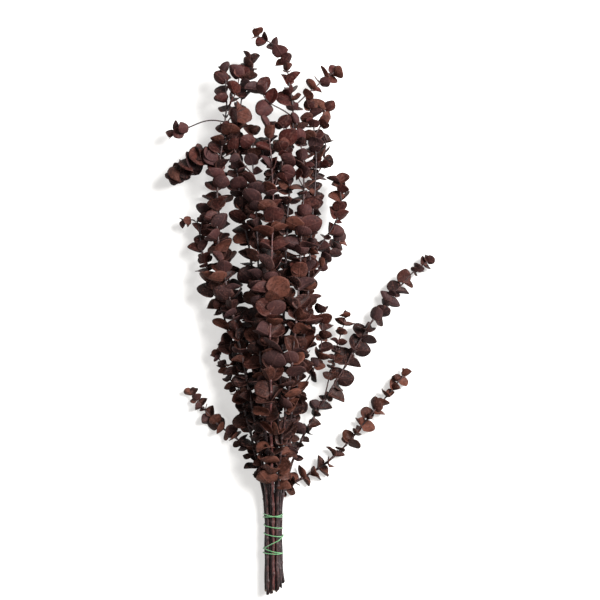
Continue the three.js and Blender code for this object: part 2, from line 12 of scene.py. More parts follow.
import bpy
import numpy as np
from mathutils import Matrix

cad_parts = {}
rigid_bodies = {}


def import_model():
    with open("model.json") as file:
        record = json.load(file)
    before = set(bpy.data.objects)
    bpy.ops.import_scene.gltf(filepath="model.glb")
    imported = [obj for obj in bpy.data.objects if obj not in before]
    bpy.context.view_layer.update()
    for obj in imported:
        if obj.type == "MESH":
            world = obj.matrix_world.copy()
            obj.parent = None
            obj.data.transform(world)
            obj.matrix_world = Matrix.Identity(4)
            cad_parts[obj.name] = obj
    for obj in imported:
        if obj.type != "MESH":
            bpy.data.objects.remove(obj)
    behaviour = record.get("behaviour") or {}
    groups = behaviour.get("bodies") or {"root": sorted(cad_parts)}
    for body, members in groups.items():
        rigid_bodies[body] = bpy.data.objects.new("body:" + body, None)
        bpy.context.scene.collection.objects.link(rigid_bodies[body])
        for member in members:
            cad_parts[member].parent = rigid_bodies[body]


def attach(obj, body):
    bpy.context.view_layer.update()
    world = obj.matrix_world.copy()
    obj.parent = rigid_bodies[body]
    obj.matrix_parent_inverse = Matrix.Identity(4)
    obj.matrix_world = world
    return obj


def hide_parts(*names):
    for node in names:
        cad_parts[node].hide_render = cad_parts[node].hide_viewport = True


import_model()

log = logging.getLogger("eucalyptus")

ORIGIN = np.array([35.0, 349.3, 0.0])  # the frame's origin in the routes' millimetres
UP = np.array([0.0, 0.0, 1.0])
BUNDLE_HEIGHT = 15.9  # of the bundle's middle
BUNDLE_PITCH = 4.75  # from one stem to the next across the bundle
ROW_RISE = 4.1  # from one row of stems to the next
SPLAY = 0.3  # share by which the right-hand stems spread at their cut ends
TIED_Y = (36.0, 74.0, 108.0)  # where every stem passes straight through the bundle
STEM_RADIUS = (2.05, 0.7)  # at the cut end and at the tip
SHOOT_RADIUS = (0.9, 0.6)
TAPER = 0.8  # the power of the way left with which a stem thins
SQUARE_REACH = 1.1  # how far a packed stem's corners reach, in radii
NECK = 1.3  # half the length of a leaf's joint
KNOT_GAP = 18.0  # the longest straight step of a packed stem
SPAN_STEPS = 16
CLEARANCE = 0.35  # the least gap between two branches
LEAF_THICKNESS = 1.2  # of a packed leaf
LEAF_OUTLINE = ((0.0, 0.0), (0.18, 0.46), (0.64, 0.52), (1.0, 0.0), (0.64, -0.52), (0.18, -0.46))
TRIES = 10  # positions tried for a leaf, each looser than the last, before it has fallen
LAST_TRIES = 3  # tries at which a leaf may be pressed flat from any depth
SINK = 1.5  # how far a leaf may dip under the surface before it is pressed
SIZE = (0.84, 0.32)  # a leaf's share of its usual length, and its spread
SHRINK = 0.25  # share of its length that it gives up at the loosest try
TURN_SPREAD = (0.7, 1.2)  # radians round the stem, at the first try and more at the loosest
QUARTER_SPREAD = 0.6  # radians from one pair to the next
GAP = (0.85, 0.3)  # a gap's share of its usual length, and its spread
PITCH = 66.0  # degrees between a leaf and its stem, at the first pair
PITCH_SPREAD = 40.0
PITCH_CLOSING = 16.0  # degrees by which the leaves close towards the tip
HANG_PITCH = 95.0  # the pitch where all leaves hang to one side
HANG_SPREAD = 70.0  # degrees between the two leaves of a pair that hang to one side
FACE_UP = (0.3, 1.4, 0.96)  # a leaf's share of its plan's, its spread, and the most it may be
FOLD = (4.0, 50.0)  # degrees, and their spread
CURL = (-0.06, 0.26)
INNER_PAIRS = 1000  # the first number of the pairs of small inner leaves
INNER_RINGS = 2
INNER_SIZE = 0.7
INNER_SHIFT = 0.7  # share of the gap over which an inner pair may lie
HANGING_SIZE = 0.95
STRING_TURNS = (  # each half turn over the bundle: its place at the left, at the right, and its layer
    (95.0, 90.6, 0), (90.6, 95.0, 1), (80.5, 76.7, 0), (70.0, 65.8, 0), (49.5, 68.7, 1), (51.5, 44.6, 0),
    (45.6, 45.2, 1),
)


class BarkTone(Enum):
    """The colour family of one branch's bark."""

    PURPLE = "purple"
    BROWN = "brown"
    RED = "red"


@dataclass(frozen=True)
class BranchPlan:
    """One branch or side shoot: its route, its leaves and its bark.

    bare is the length with no leaves; size is the leaf length at the first pair, half way and at the tip;
    gap is the length between pairs at the first and at the last; face_up is how far the leaves roll level,
    from 0 to 1; turn is the first pair's, in degrees from upright; place is a main stem's in the bundle, in
    stems across and in rows; cut is where it was cut; hang is the side to which all leaves hang, in degrees
    from upright; and dusk is how much darker they dried.
    """

    name: str
    bare: float
    size: tuple[float, float, float]
    gap: tuple[float, float]
    face_up: float
    turn: float
    route: tuple[tuple[float, float, float], ...]
    place: tuple[float, float] | None = None
    cut: float = 0.0
    parent: str | None = None
    tone: BarkTone = BarkTone.BROWN
    hang: float | None = None
    dusk: float = 0.0


BRANCHES = (
    BranchPlan("long_right", 165, (13, 22, 14), (11.9, 8.1), 0.6, 90, place=(1.5, -1), cut=5,
               dusk=0.3, route=(
        (21, 153, 16), (38, 197, 20), (63, 237, 22), (92, 283, 22), (117, 330, 21), (148, 368, 19),
        (172, 398, 16), (199, 418, 13))),
    BranchPlan("low_right", 112, (14.6, 17.9, 13.4), (13.6, 11.9), 0.42, 0, place=(1, -2), cut=3,
               dusk=-0.5, route=(
        (16, 129, 9), (39, 140, 9), (68, 158, 10), (94, 182, 10), (117, 212, 10), (143, 242, 10),
        (166, 270, 10))),
    BranchPlan("low_left", 165, (13, 16, 13), (11, 8.5), 0.6, 0, place=(-1.5, -1), cut=-4, route=(
        (-17, 150, 13), (-31, 178, 13), (-50, 192, 12), (-72, 208, 11), (-87, 225, 10), (-99, 240, 10),
        (-106, 250, 10))),
    BranchPlan("left_column", 145, (16.8, 23.5, 17.9), (14.4, 11.9), 0.42, 20, place=(-2, 0), cut=-3,
               tone=BarkTone.PURPLE, route=(
        (-21, 164, 24), (-34, 221, 30), (-46, 278, 33), (-59, 341, 33), (-77, 389, 32), (-91, 427, 30),
        (-94, 457, 28), (-82, 482, 26))),
    BranchPlan("left_tall", 150, (16.8, 23.5, 15.7), (14.4, 11.9), 0.42, 60, place=(-1.5, 1), cut=-6,
               dusk=0.2, route=(
        (-14, 165, 38), (-26, 235, 48), (-40, 304, 52), (-56, 379, 52), (-71, 441, 50), (-70, 503, 50),
        (-63, 566, 50), (-56, 611, 48), (-61, 659, 45))),
    BranchPlan("left_inner", 175, (15.7, 23.5, 16.8), (15.3, 11.9), 0.38, 0, place=(-1, 0), cut=-5,
               tone=BarkTone.PURPLE, dusk=0.1, route=(
        (-9, 164, 26), (-15, 241, 36), (-18, 316, 40), (-23, 391, 42), (-32, 443, 42), (-43, 503, 42),
        (-48, 550, 42), (-44, 592, 42), (-36, 635, 40), (-30, 667, 38))),
    BranchPlan("left_low", 220, (16.8, 23.5, 16.8), (17.8, 15.3), 0.34, 15, place=(-1, -2), cut=-7,
               dusk=-0.25, route=(
        (-15, 162, 9), (-27, 226, 12), (-38, 290, 14), (-48, 354, 14), (-64, 417, 14), (-74, 487, 14),
        (-70, 544, 14), (-60, 582, 14))),
    BranchPlan("centre_left", 145, (17.9, 24.6, 17.9), (14.4, 11.9), 0.42, 30, place=(-0.5, 1), cut=-6,
               tone=BarkTone.PURPLE, dusk=0.2, route=(
        (-6, 166, 44), (-13, 242, 60), (-17, 329, 66), (-17, 403, 66), (-20, 471, 64), (-25, 533, 62),
        (-25, 565, 58), (-24, 578, 54))),
    BranchPlan("centre_top", 136, (27, 25, 19), (14.4, 11.9), 0.5, 100, place=(0, 2), cut=-1,
               tone=BarkTone.RED, route=(
        (-2, 180, 58), (-2, 256, 78), (-3, 330, 84), (-3, 391, 84), (1, 452, 80), (1, 514, 76),
        (-3, 555, 72), (-5, 585, 70))),
    BranchPlan("centre_low", 210, (17.9, 23.5, 16.8), (17.8, 15.3), 0.34, 50, place=(-0.5, -1), cut=-4,
               dusk=-0.1, route=(
        (-2, 163, 15), (-2, 239, 18), (1, 316, 20), (3, 392, 22), (3, 468, 22), (-2, 531, 22),
        (-9, 575, 22))),
    BranchPlan("centre_tall", 155, (16.8, 23.5, 15.7), (14.4, 11.9), 0.42, 80, place=(0.5, 1), cut=-3,
               tone=BarkTone.PURPLE, route=(
        (4, 178, 40), (9, 254, 54), (14, 341, 60), (16, 428, 60), (21, 515, 60), (25, 577, 58),
        (26, 605, 56), (21, 627, 56), (19, 652, 54), (10, 678, 52), (-6, 689, 51), (-19, 693, 50),
        (-24, 707, 48))),
    BranchPlan("centre_right", 135, (17.9, 24.6, 17.9), (14.4, 11.9), 0.42, 40, place=(1, 2), cut=0, route=(
        (9, 180, 56), (20, 255, 72), (29, 329, 78), (33, 403, 76), (37, 471, 72), (40, 526, 70),
        (34, 566, 66), (29, 587, 62))),
    BranchPlan("right_inner", 155, (16.8, 23.5, 16.8), (14.4, 11.9), 0.42, 0, place=(1.5, 1), cut=3,
               tone=BarkTone.PURPLE, route=(
        (14, 178, 42), (29, 254, 54), (41, 329, 58), (45, 403, 58), (49, 472, 57), (55, 528, 56),
        (52, 578, 53), (45, 612, 50))),
    BranchPlan("right_outer", 165, (15.7, 22.4, 16.8), (14.4, 11), 0.42, 70, place=(2, 0), cut=8,
               tone=BarkTone.PURPLE, dusk=-0.1, route=(
        (19, 177, 26), (33, 253, 32), (40, 329, 34), (39, 378, 35), (44, 410, 36), (58, 436, 34),
        (79, 460, 34), (88, 490, 32), (82, 519, 32))),
    BranchPlan("right_low", 210, (16.8, 23.5, 16.8), (17.8, 15.3), 0.34, 15, place=(0.5, -1), cut=-1,
               dusk=-0.1, route=(
        (10, 175, 14), (22, 252, 16), (32, 328, 18), (38, 404, 20), (43, 480, 20), (53, 544, 20),
        (59, 574, 20))),
)

SHOOTS = (
    BranchPlan("top_right", 18, (15, 18, 15), (12, 10), 0.42, 0, parent="centre_tall", dusk=-0.2, route=(
        (26, 606, 56), (41, 620, 54), (56, 635, 52), (69, 645, 50), (80, 652, 50))),
    BranchPlan("top_left", 30, (20, 25, 18), (10, 8), 0.75, 90, parent="centre_tall", route=(
        (25, 593, 57), (9, 604, 60), (-6, 611, 60), (-13, 621, 58), (-17, 635, 56))),
    BranchPlan("left_tip", 48, (15.7, 17.9, 13.4), (11, 10.2), 0.51, 0, parent="left_tall", dusk=0.25, route=(
        (-59, 588, 49), (-76, 593, 42), (-94, 588, 38), (-112, 581, 35), (-129, 577, 32))),
    BranchPlan("left_arc", 4, (21, 27, 26), (9, 8.5), 0.7, 20, parent="left_tall", hang=-90, dusk=0.3, route=(
        (-66, 543, 50), (-76, 557, 46), (-91, 556, 41), (-107, 546, 36), (-121, 535, 32), (-132, 527, 28))),
    BranchPlan("left_twig", 8, (12.3, 13.4, 12.3), (10.2, 10.2), 0.51, 0, parent="left_column", route=(
        (-92, 444, 30), (-95, 460, 28), (-101, 470, 26), (-113, 465, 22))),
    BranchPlan("left_small", 10, (14.6, 15.7, 13.4), (10.2, 7.6), 0.59, 0, parent="left_column", route=(
        (-36, 230, 30), (-50, 258, 26), (-62, 280, 22), (-74, 300, 20))),
    BranchPlan("right_middle", 20, (16.8, 20.2, 16.8), (11.9, 10.2), 0.42, 30, parent="right_outer", route=(
        (34, 250, 32), (49, 273, 33), (60, 301, 34), (63, 329, 34), (60, 354, 34))),
    BranchPlan("right_fork", 24, (13, 14, 15), (11.9, 10.2), 0.4, 80, parent="long_right", route=(
        (62, 235, 22), (73, 275, 27), (80, 308, 28), (87, 328, 28), (92, 349, 28))),
    BranchPlan("right_twig", 14, (15.7, 17.9, 14.6), (11, 10.2), 0.51, 80, parent="right_outer", route=(
        (49, 398, 35), (64, 414, 30), (77, 429, 26), (89, 450, 24))),
    BranchPlan("left_crown", 8, (20, 24, 18), (11, 9), 0.7, 40, parent="left_tall", dusk=0.2, route=(
        (-56, 604, 48), (-48, 618, 52), (-43, 634, 54), (-42, 648, 52))),
    BranchPlan("middle_crown", 10, (18, 22, 17), (12, 10), 0.5, 0, parent="centre_left", dusk=0.25, route=(
        (-29, 520, 62), (-44, 544, 58), (-55, 566, 54), (-58, 588, 50))),
    BranchPlan("right_crown", 10, (17, 22, 18), (12, 10), 0.6, 60, parent="right_inner", dusk=-0.15, route=(
        (53, 572, 53), (60, 583, 50), (64, 596, 46), (65, 608, 42))),
    BranchPlan("centre_fork", 12, (17, 21, 16), (12, 10), 0.5, 20, parent="centre_right", route=(
        (38, 505, 70), (24, 530, 72), (14, 552, 70), (10, 572, 66))),
    BranchPlan("left_fill", 10, (18, 20, 16), (11, 9), 0.7, 10, parent="left_tall", dusk=0.15, route=(
        (-61, 582, 50), (-52, 594, 55), (-43, 601, 57), (-35, 604, 57))),
    BranchPlan("centre_crown", 10, (20, 23, 18), (12, 10), 0.6, 70, parent="centre_top", route=(
        (1, 500, 77), (11, 528, 76), (16, 556, 74), (13, 584, 70))),
    BranchPlan("right_fill", 8, (17, 20, 16), (11, 9), 0.6, 30, parent="right_inner", route=(
        (53, 518, 56), (62, 535, 54), (66, 552, 50), (66, 568, 46))),
)


def chance(branch: int, leaf: int, prop: int) -> float:
    """Return a repeatable number from 0 to 1 for one property of one leaf.

    Args:
        branch: The branch's number.
        leaf: The leaf's number on it.
        prop: The property's number.

    Returns:
        The fraction left of a large multiple of a sine.
    """
    value = math.sin(branch * 127.1 + leaf * 311.7 + prop * 74.7) * 43758.5453
    return value - math.floor(value)


def unit(vector: np.ndarray) -> np.ndarray:
    """Return a vector at length one."""
    return vector / np.linalg.norm(vector)


def level_frame(tangent: np.ndarray) -> tuple[np.ndarray, np.ndarray]:
    """Find the two directions across a stem.

    Args:
        tangent: The stem's direction, not straight up.

    Returns:
        The direction across it that is nearest to up, and the tangent crossed with it.
    """
    normal = UP - tangent * (tangent @ UP)
    normal = unit(normal)
    return normal, np.cross(tangent, normal)


class Axis:
    """The axis of a stem: points with the length along them."""

    def __init__(self, points: np.ndarray) -> None:
        """Keep the points and their lengths from the first one."""
        self.points = points
        self.lengths = np.concatenate([[0.0], np.cumsum(np.linalg.norm(np.diff(points, axis=0), axis=1))])
        self.total = float(self.lengths[-1])

    @classmethod
    def smooth(cls, route: list[tuple[float, float, float]]) -> "Axis":
        """Lay a uniform cubic B-spline over a route, starting and stopping at its end points.

        Args:
            route: The control points.

        Returns:
            The axis, with SPAN_STEPS steps to a span.
        """
        p = np.array(route, float)
        ends = np.vstack([2 * p[0] - p[1], p, 2 * p[-1] - p[-2]])
        t = (np.arange(SPAN_STEPS) / SPAN_STEPS)[:, None]
        weights = ((1 - t) ** 3, 3 * t ** 3 - 6 * t * t + 4, -3 * t ** 3 + 3 * t * t + 3 * t + 1, t ** 3)
        spans = [sum(w * ends[i + k] for k, w in enumerate(weights)) / 6 for i in range(len(p) - 1)]
        return cls(np.vstack([*spans, p[-1:]]))

    def at(self, s: float) -> tuple[np.ndarray, np.ndarray]:
        """Find a place along the axis.

        Args:
            s: The length along it.

        Returns:
            The point and the tangent there.
        """
        i = int(np.clip(np.searchsorted(self.lengths, s, side="left") - 1, 0, len(self.points) - 2))
        w = (s - self.lengths[i]) / (self.lengths[i + 1] - self.lengths[i])
        a, b = self.points[i], self.points[i + 1]
        return a * (1 - w) + b * w, unit(b - a)

    def resampled(self, gap: float) -> "Axis":
        """Divide the axis into equal straight steps, two or more.

        Args:
            gap: The length that a step doesn't pass.

        Returns:
            The axis through the ends of the steps.
        """
        steps = max(2, math.ceil(self.total / gap))
        s = np.linspace(0.0, self.total, steps + 1)
        return Axis(np.stack([np.interp(s, self.lengths, self.points[:, k]) for k in range(3)], axis=1))


def radius_at(ends: tuple[float, float], f: np.ndarray | float) -> np.ndarray | float:
    """Return a stem's radius at a share of its length: it thins with a power of the way left."""
    return ends[1] + (ends[0] - ends[1]) * (1 - f) ** TAPER


@dataclass
class Leaf:
    """One leaf where it grew: its base, its own three directions and its bends."""

    point: np.ndarray
    tangent: np.ndarray
    axis: np.ndarray
    across: np.ndarray
    face: np.ndarray
    length: float
    fold: float
    curl: float
    pair: int
    number: int
    s: float
    girth: float
    hull: np.ndarray = field(init=False)
    centre: np.ndarray = field(init=False)
    reach: float = field(init=False)

    @classmethod
    def grow(cls, point: np.ndarray, tangent: np.ndarray, turn: float, pitch: float, face_up: float,
             length: float, fold: float, curl: float, pair: int, number: int, s: float,
             girth: float) -> "Leaf":
        """Set a leaf on its stem.

        Args:
            point: Where it joins the stem's axis.
            tangent: The stem's direction there.
            turn: Its place round the stem, from straight up.
            pitch: The angle between it and the stem.
            face_up: How far its face is rolled level, from 0 to 1.
            length: Its length.
            fold: How far each half is lifted.
            curl: How far its tip bends back, in lengths.
            pair: The number of its pair.
            number: Its own number on the branch.
            s: Its place along the stem.
            girth: The stem's reach there.

        Returns:
            The leaf, with its hull measured.
        """
        normal, side = level_frame(tangent)
        out = math.cos(turn) * normal + math.sin(turn) * side
        axis = math.cos(pitch) * tangent + math.sin(pitch) * out
        face = math.sin(pitch) * tangent - math.cos(pitch) * out
        level = UP - axis * (UP @ axis)
        if np.linalg.norm(level) > 0.05:
            level = unit(level)
            if face @ level < 0:
                level = -level
            face = unit((1 - face_up) * face + face_up * level)
        leaf = cls(point, tangent, axis, np.cross(face, axis), face, length, fold, curl, pair, number, s,
                   girth)
        leaf.measure()
        return leaf

    def measure(self) -> None:
        """Work out the hull: the outline, the two middles of the lens, and the base along the stem."""
        outline = np.array(LEAF_OUTLINE)
        u, v = outline[:, :1], outline[:, 1:]
        width = np.abs(v) * self.length
        rim = (self.point + self.axis * (u * self.length)
               + self.across * (np.sign(v) * width * math.cos(self.fold))
               + self.face * (width * math.sin(self.fold) - self.curl * self.length * u * u))
        middle = self.point + self.axis * (0.5 * self.length) - self.face * (0.25 * self.curl * self.length)
        lens = [middle + self.face * (LEAF_THICKNESS / 2), middle - self.face * (LEAF_THICKNESS / 2)]
        self._finish(np.vstack([rim, lens]))

    def press(self) -> None:
        """Press a leaf that would pass through the surface flat on it."""
        corners = self.hull[:8].copy()
        corners[:, 2] = np.maximum(corners[:, 2], 0.0)
        upper, lower = (6, 7) if self.face[2] >= 0 else (7, 6)
        corners[upper, 2] = max(corners[upper, 2], corners[lower, 2] + LEAF_THICKNESS * 0.8)
        self._finish(corners)

    def _finish(self, corners: np.ndarray) -> None:
        """Keep the hull of the corners and the base, with its middle and reach."""
        base = [self.point + self.tangent * along + self.across * beside
                for along in (NECK, -NECK) for beside in (self.girth, -self.girth)]
        self.hull = np.vstack([corners, base])
        self.centre = (self.hull[:8].min(axis=0) + self.hull[:8].max(axis=0)) / 2
        self.reach = float(np.linalg.norm(self.hull - self.centre, axis=1).max())


def widest_gap(directions: np.ndarray, mine: np.ndarray, low: np.ndarray, high: np.ndarray) -> np.ndarray:
    """Return, for each neighbour, the widest gap to it along any of its directions.

    Args:
        directions: Unit directions, neighbours by directions by 3.
        mine: This leaf's hull.
        low: The least reach of each neighbour along each direction.
        high: The greatest reach.

    Returns:
        One gap for each neighbour, negative where they may overlap.
    """
    reach = np.einsum("nkj,pj->nkp", directions, mine)
    return np.maximum(low - reach.max(axis=2), reach.min(axis=2) - high).max(axis=1)


def normalised(directions: list[np.ndarray]) -> np.ndarray:
    """Stack directions for each neighbour at length one, with those of no length left at zero."""
    stack = np.stack(directions, axis=1)
    return stack / np.maximum(np.linalg.norm(stack, axis=2, keepdims=True), 1e-6)


class Thicket:
    """Everything that has grown so far, for a new leaf to keep clear of."""

    def __init__(self, branches: list["Branch"]) -> None:
        """Take in every stem as straight steps with a radius.

        Args:
            branches: The branches, with no leaves yet.
        """
        starts, stops, radii, owners = [], [], [], []
        for branch in branches:
            r = branch.radii
            starts.append(branch.knots.points[:-1])
            stops.append(branch.knots.points[1:])
            radii.append(np.maximum(r[:-1], r[1:]))
            owners.append(np.full(len(r) - 1, branch.index))
        self.a, self.b = np.vstack(starts), np.vstack(stops)
        self.radius, self.owner = np.concatenate(radii), np.concatenate(owners)
        self.leaves: list[tuple[int, Leaf]] = []
        self._arrays: tuple[np.ndarray, ...] | None = None

    def add(self, branch: int, leaf: Leaf) -> None:
        """Take in a leaf of a branch."""
        self.leaves.append((branch, leaf))
        self._arrays = None

    def clear(self, branch: int, leaf: Leaf, touching: bool) -> bool:
        """Tell whether a leaf is clear of other stems and, unless it may touch them, of other leaves."""
        return self._clear_of_stems(branch, leaf) and (touching or self._clear_of_leaves(branch, leaf))

    def _clear_of_stems(self, branch: int, leaf: Leaf) -> bool:
        """Test the stems near a leaf, along the directions in which a stem and a lens can part.

        Args:
            branch: The number of the leaf's own branch, whose stem it may touch.
            leaf: The leaf.

        Returns:
            Whether the gap to every other stem is wide enough.
        """
        ab = self.b - self.a
        t = np.clip(((leaf.centre - self.a) * ab).sum(axis=1) / (ab * ab).sum(axis=1), 0, 1)
        distance = np.linalg.norm(self.a + ab * t[:, None] - leaf.centre, axis=1)
        near = (self.owner != branch) & (distance < leaf.reach + self.radius + CLEARANCE)
        if not near.any():
            return True
        a, b, radius, ab = self.a[near], self.b[near], self.radius[near][:, None], ab[near]
        frame_rows = [np.broadcast_to(d, a.shape) for d in (leaf.axis, leaf.across, leaf.face)]
        between = (a + b) / 2 - leaf.centre
        directions = normalised([
            *frame_rows, *[np.cross(ab, d) for d in frame_rows], between,
            np.cross(ab, np.cross(between, ab)), np.cross(leaf.face, np.cross(ab, leaf.face))])
        at_a = np.einsum("nkj,nj->nk", directions, a)
        at_b = np.einsum("nkj,nj->nk", directions, b)
        low, high = np.minimum(at_a, at_b) - radius, np.maximum(at_a, at_b) + radius
        gap = widest_gap(directions, leaf.hull, low, high)
        return not (gap < CLEARANCE).any()

    def _clear_of_leaves(self, branch: int, leaf: Leaf) -> bool:
        """Test the leaves near a leaf, except the other one of its pair.

        Args:
            branch: The number of the leaf's own branch.
            leaf: The leaf.

        Returns:
            Whether the gap to every other leaf is wide enough.
        """
        if not self.leaves:
            return True
        if self._arrays is None:
            self._arrays = (
                np.array([[owner, other.pair] for owner, other in self.leaves]),
                np.array([other.hull for _, other in self.leaves]),
                np.array([[other.axis, other.across, other.face] for _, other in self.leaves]),
                np.array([other.centre for _, other in self.leaves]),
                np.array([other.reach for _, other in self.leaves]))
        ids, hulls, frames, centres, reach = self._arrays
        near = np.linalg.norm(centres - leaf.centre, axis=1) < reach + leaf.reach + CLEARANCE
        near &= ~((ids[:, 0] == branch) & (ids[:, 1] == leaf.pair))
        if not near.any():
            return True
        hulls, frames, centres = hulls[near], frames[near], centres[near]
        mine = [np.broadcast_to(d, centres.shape) for d in (leaf.axis, leaf.across, leaf.face)]
        theirs = [frames[:, 0], frames[:, 1], frames[:, 2]]
        crease = np.cross(mine[2], theirs[2])
        directions = normalised([
            *mine, *theirs, centres - leaf.centre,
            *[np.cross(mine[i], theirs[j]) for i in (0, 1) for j in (0, 1)],
            np.cross(mine[2], crease), np.cross(theirs[2], crease), crease])
        reached = np.einsum("nkj,npj->nkp", directions, hulls)
        gap = widest_gap(directions, leaf.hull, reached.min(axis=2), reached.max(axis=2))
        return not (gap < CLEARANCE).any()


class Branch:
    """A stem with its leaves, or a side shoot that grows from one."""

    def __init__(self, plan: BranchPlan, index: int, parent: "Branch | None") -> None:
        """Lay the stem's axis along the plan's route.

        Args:
            plan: What the branch is to be.
            index: Its number, from 1.
            parent: The branch that bears it, or None for a main branch.
        """
        self.plan, self.index, self.parent = plan, index, parent
        self.ends = STEM_RADIUS if parent is None else SHOOT_RADIUS
        self.fork: np.ndarray | None = None
        if parent is None:
            x, z = plan.place[0] * BUNDLE_PITCH, BUNDLE_HEIGHT + plan.place[1] * ROW_RISE
            start = (x + SPLAY * max(0.0, x), plan.cut, z)
            route = [start, *[(x, y, z) for y in TIED_Y], *plan.route]
        else:
            route = self._route_from_parent(parent)
        self.axis = Axis.smooth(route)
        self.knots = self.axis.resampled(KNOT_GAP)
        share = np.arange(len(self.knots.points)) / (len(self.knots.points) - 1)
        self.radii = radius_at(self.ends, share) * SQUARE_REACH
        self.leaves: list[Leaf] = []
        self.pairs: list[tuple[float, float, float]] = []

    @property
    def node(self) -> str:
        """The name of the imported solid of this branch."""
        return ("branch_" if self.parent is None else "shoot_") + self.plan.name

    def _route_from_parent(self, parent: "Branch") -> list[tuple[float, float, float]]:
        """Start the route just clear of the parent's bark.

        Args:
            parent: The branch that bears this one.

        Returns:
            The route, from a point on the line from the parent's axis to the plan's second point.
        """
        first, second = np.array(self.plan.route[0], float), np.array(self.plan.route[1], float)
        a, b = parent.knots.points[:-1], parent.knots.points[1:]
        ab = b - a
        t = np.clip(((first - a) * ab).sum(axis=1) / (ab * ab).sum(axis=1), 0, 1)
        near = a + ab * t[:, None]
        i = int(np.argmin(np.linalg.norm(near - first, axis=1)))
        self.fork = near[i]
        way = unit(second - near[i])
        along = abs(way @ unit(ab[i]))
        radius = max(parent.radii[i], parent.radii[i + 1])
        start = near[i] + way * (radius + CLEARANCE + self.ends[0] * along) / math.sqrt(1 - along * along)
        return [tuple(start), *self.plan.route[1:]]

    def _size_at(self, f: float) -> float:
        """Find the usual length of a leaf.

        Args:
            f: Its place as a share of the leafy part.

        Returns:
            The length, which rises and falls as a sine between the plan's three lengths.
        """
        first, middle, last = self.plan.size
        if f < 0.5:
            return first + (middle - first) * math.sin(f * math.pi)
        return last + (middle - last) * math.sin((1 - f) * math.pi)

    def grow(self, thicket: Thicket) -> None:
        """Grow opposite pairs, each turned about a quarter from the last, each leaf in its first free place.

        Args:
            thicket: What has grown so far; it takes in the new leaves.
        """
        plan, total = self.plan, self.knots.total
        turn, s, pair = math.radians(plan.turn), float(plan.bare), 0
        while s < total:
            f = (s - plan.bare) / max(total - plan.bare, 1)
            self._place_pair(thicket, pair, min(s, total - 2 * NECK), f, turn, 1.0)
            self.pairs.append((s, f, turn))
            turn += math.pi / 2 + (chance(self.index, pair, 108) - 0.5) * QUARTER_SPREAD
            usual = plan.gap[0] + (plan.gap[1] - plan.gap[0]) * f
            s += usual * (GAP[0] + GAP[1] * chance(self.index, pair, 109))
            pair += 1

    def fill(self, thicket: Thicket) -> None:
        """Grow more leaves between the pairs: small inner ones with room, or more that hang side by side.

        Args:
            thicket: What has grown so far, with every branch's own pairs.
        """
        hanging = self.plan.hang is not None
        scale = HANGING_SIZE if hanging else INNER_SIZE
        for k, (lower, upper) in enumerate(zip(self.pairs, self.pairs[1:])):
            s, f, turn = ((a + b) / 2 for a, b in zip(lower, upper))
            for ring in range(1 if hanging else INNER_RINGS):
                pair = INNER_PAIRS * (ring + 1) + k
                place = s + (chance(self.index, pair, 110) - 0.5) * (upper[0] - lower[0]) * INNER_SHIFT
                self._place_pair(thicket, pair, place, f, turn + ring * math.pi / 2, scale, hanging)

    def _place_pair(self, thicket: Thicket, pair: int, s: float, f: float, turn: float, scale: float,
                    touching: bool = False) -> None:
        """Keep each leaf of a pair that finds a free place.

        Args:
            thicket: What has grown so far; it takes in the new leaves.
            pair: The pair's number.
            s: Its place along the stem.
            f: That place as a share of the leafy part.
            turn: Its turn round the stem.
            scale: Its size as a share of the usual size there.
            touching: Whether it may touch other leaves.
        """
        for half in (0, 1):
            leaf = self._place_leaf(thicket, pair, half, s, f, turn, scale, touching)
            if leaf is not None:
                self.leaves.append(leaf)
                thicket.add(self.index, leaf)

    def _place_leaf(self, thicket: Thicket, pair: int, half: int, s: float, f: float,
                    turn: float, scale: float, touching: bool) -> Leaf | None:
        """Try positions for a leaf until one is clear.

        Args:
            thicket: What has grown so far.
            pair: The number of its pair.
            half: Which leaf of the pair, 0 or 1.
            s: Its place along the stem.
            f: That place as a share of the leafy part.
            turn: The pair's turn round the stem.
            scale: Its size as a share of the usual size there.
            touching: Whether it may touch other leaves.

        Returns:
            The leaf, or None where it has fallen.
        """
        plan, number = self.plan, 2 * pair + half
        point, tangent = self.knots.at(s)
        for attempt in range(TRIES):
            loose = attempt / TRIES
            roll = [chance(self.index, number, k + 10 * attempt) for k in range(8)]
            share = SIZE[0] + SIZE[1] * chance(self.index, number, 1)
            length = scale * self._size_at(f) * share * (1 - SHRINK * loose)
            side = turn + half * math.pi
            if plan.hang is not None:
                side = math.radians(plan.hang + (half - 0.5) * HANG_SPREAD)
            angle = side + (roll[2] - 0.5) * (TURN_SPREAD[0] + TURN_SPREAD[1] * loose)
            usual = PITCH if plan.hang is None else HANG_PITCH
            spread = PITCH_SPREAD + PITCH_SPREAD * loose
            pitch = math.radians(usual + (roll[3] - 0.5) * spread - PITCH_CLOSING * f)
            face_up = min(FACE_UP[2], max(0.0, plan.face_up * (FACE_UP[0] + FACE_UP[1] * roll[4])))
            fold = math.radians(FOLD[0] + FOLD[1] * roll[5] ** 2)
            curl = CURL[0] + CURL[1] * roll[6]
            room = (point[2] - SINK) / max(length * math.sin(pitch), 1e-3)
            if -math.cos(angle) > room:
                angle = math.acos(min(1.0, max(-1.0, -room))) * (-1 if math.sin(angle) < 0 else 1)
            girth = radius_at(self.ends, s / self.knots.total) * SQUARE_REACH
            leaf = Leaf.grow(point, tangent, angle, pitch, face_up, length, fold, curl, pair, number, s,
                             girth)
            lowest = leaf.hull[:8, 2].min()
            if lowest < -SINK and attempt < TRIES - LAST_TRIES:
                continue
            if lowest < 0:
                leaf.press()
            if thicket.clear(self.index, leaf, touching):
                return leaf
        return None


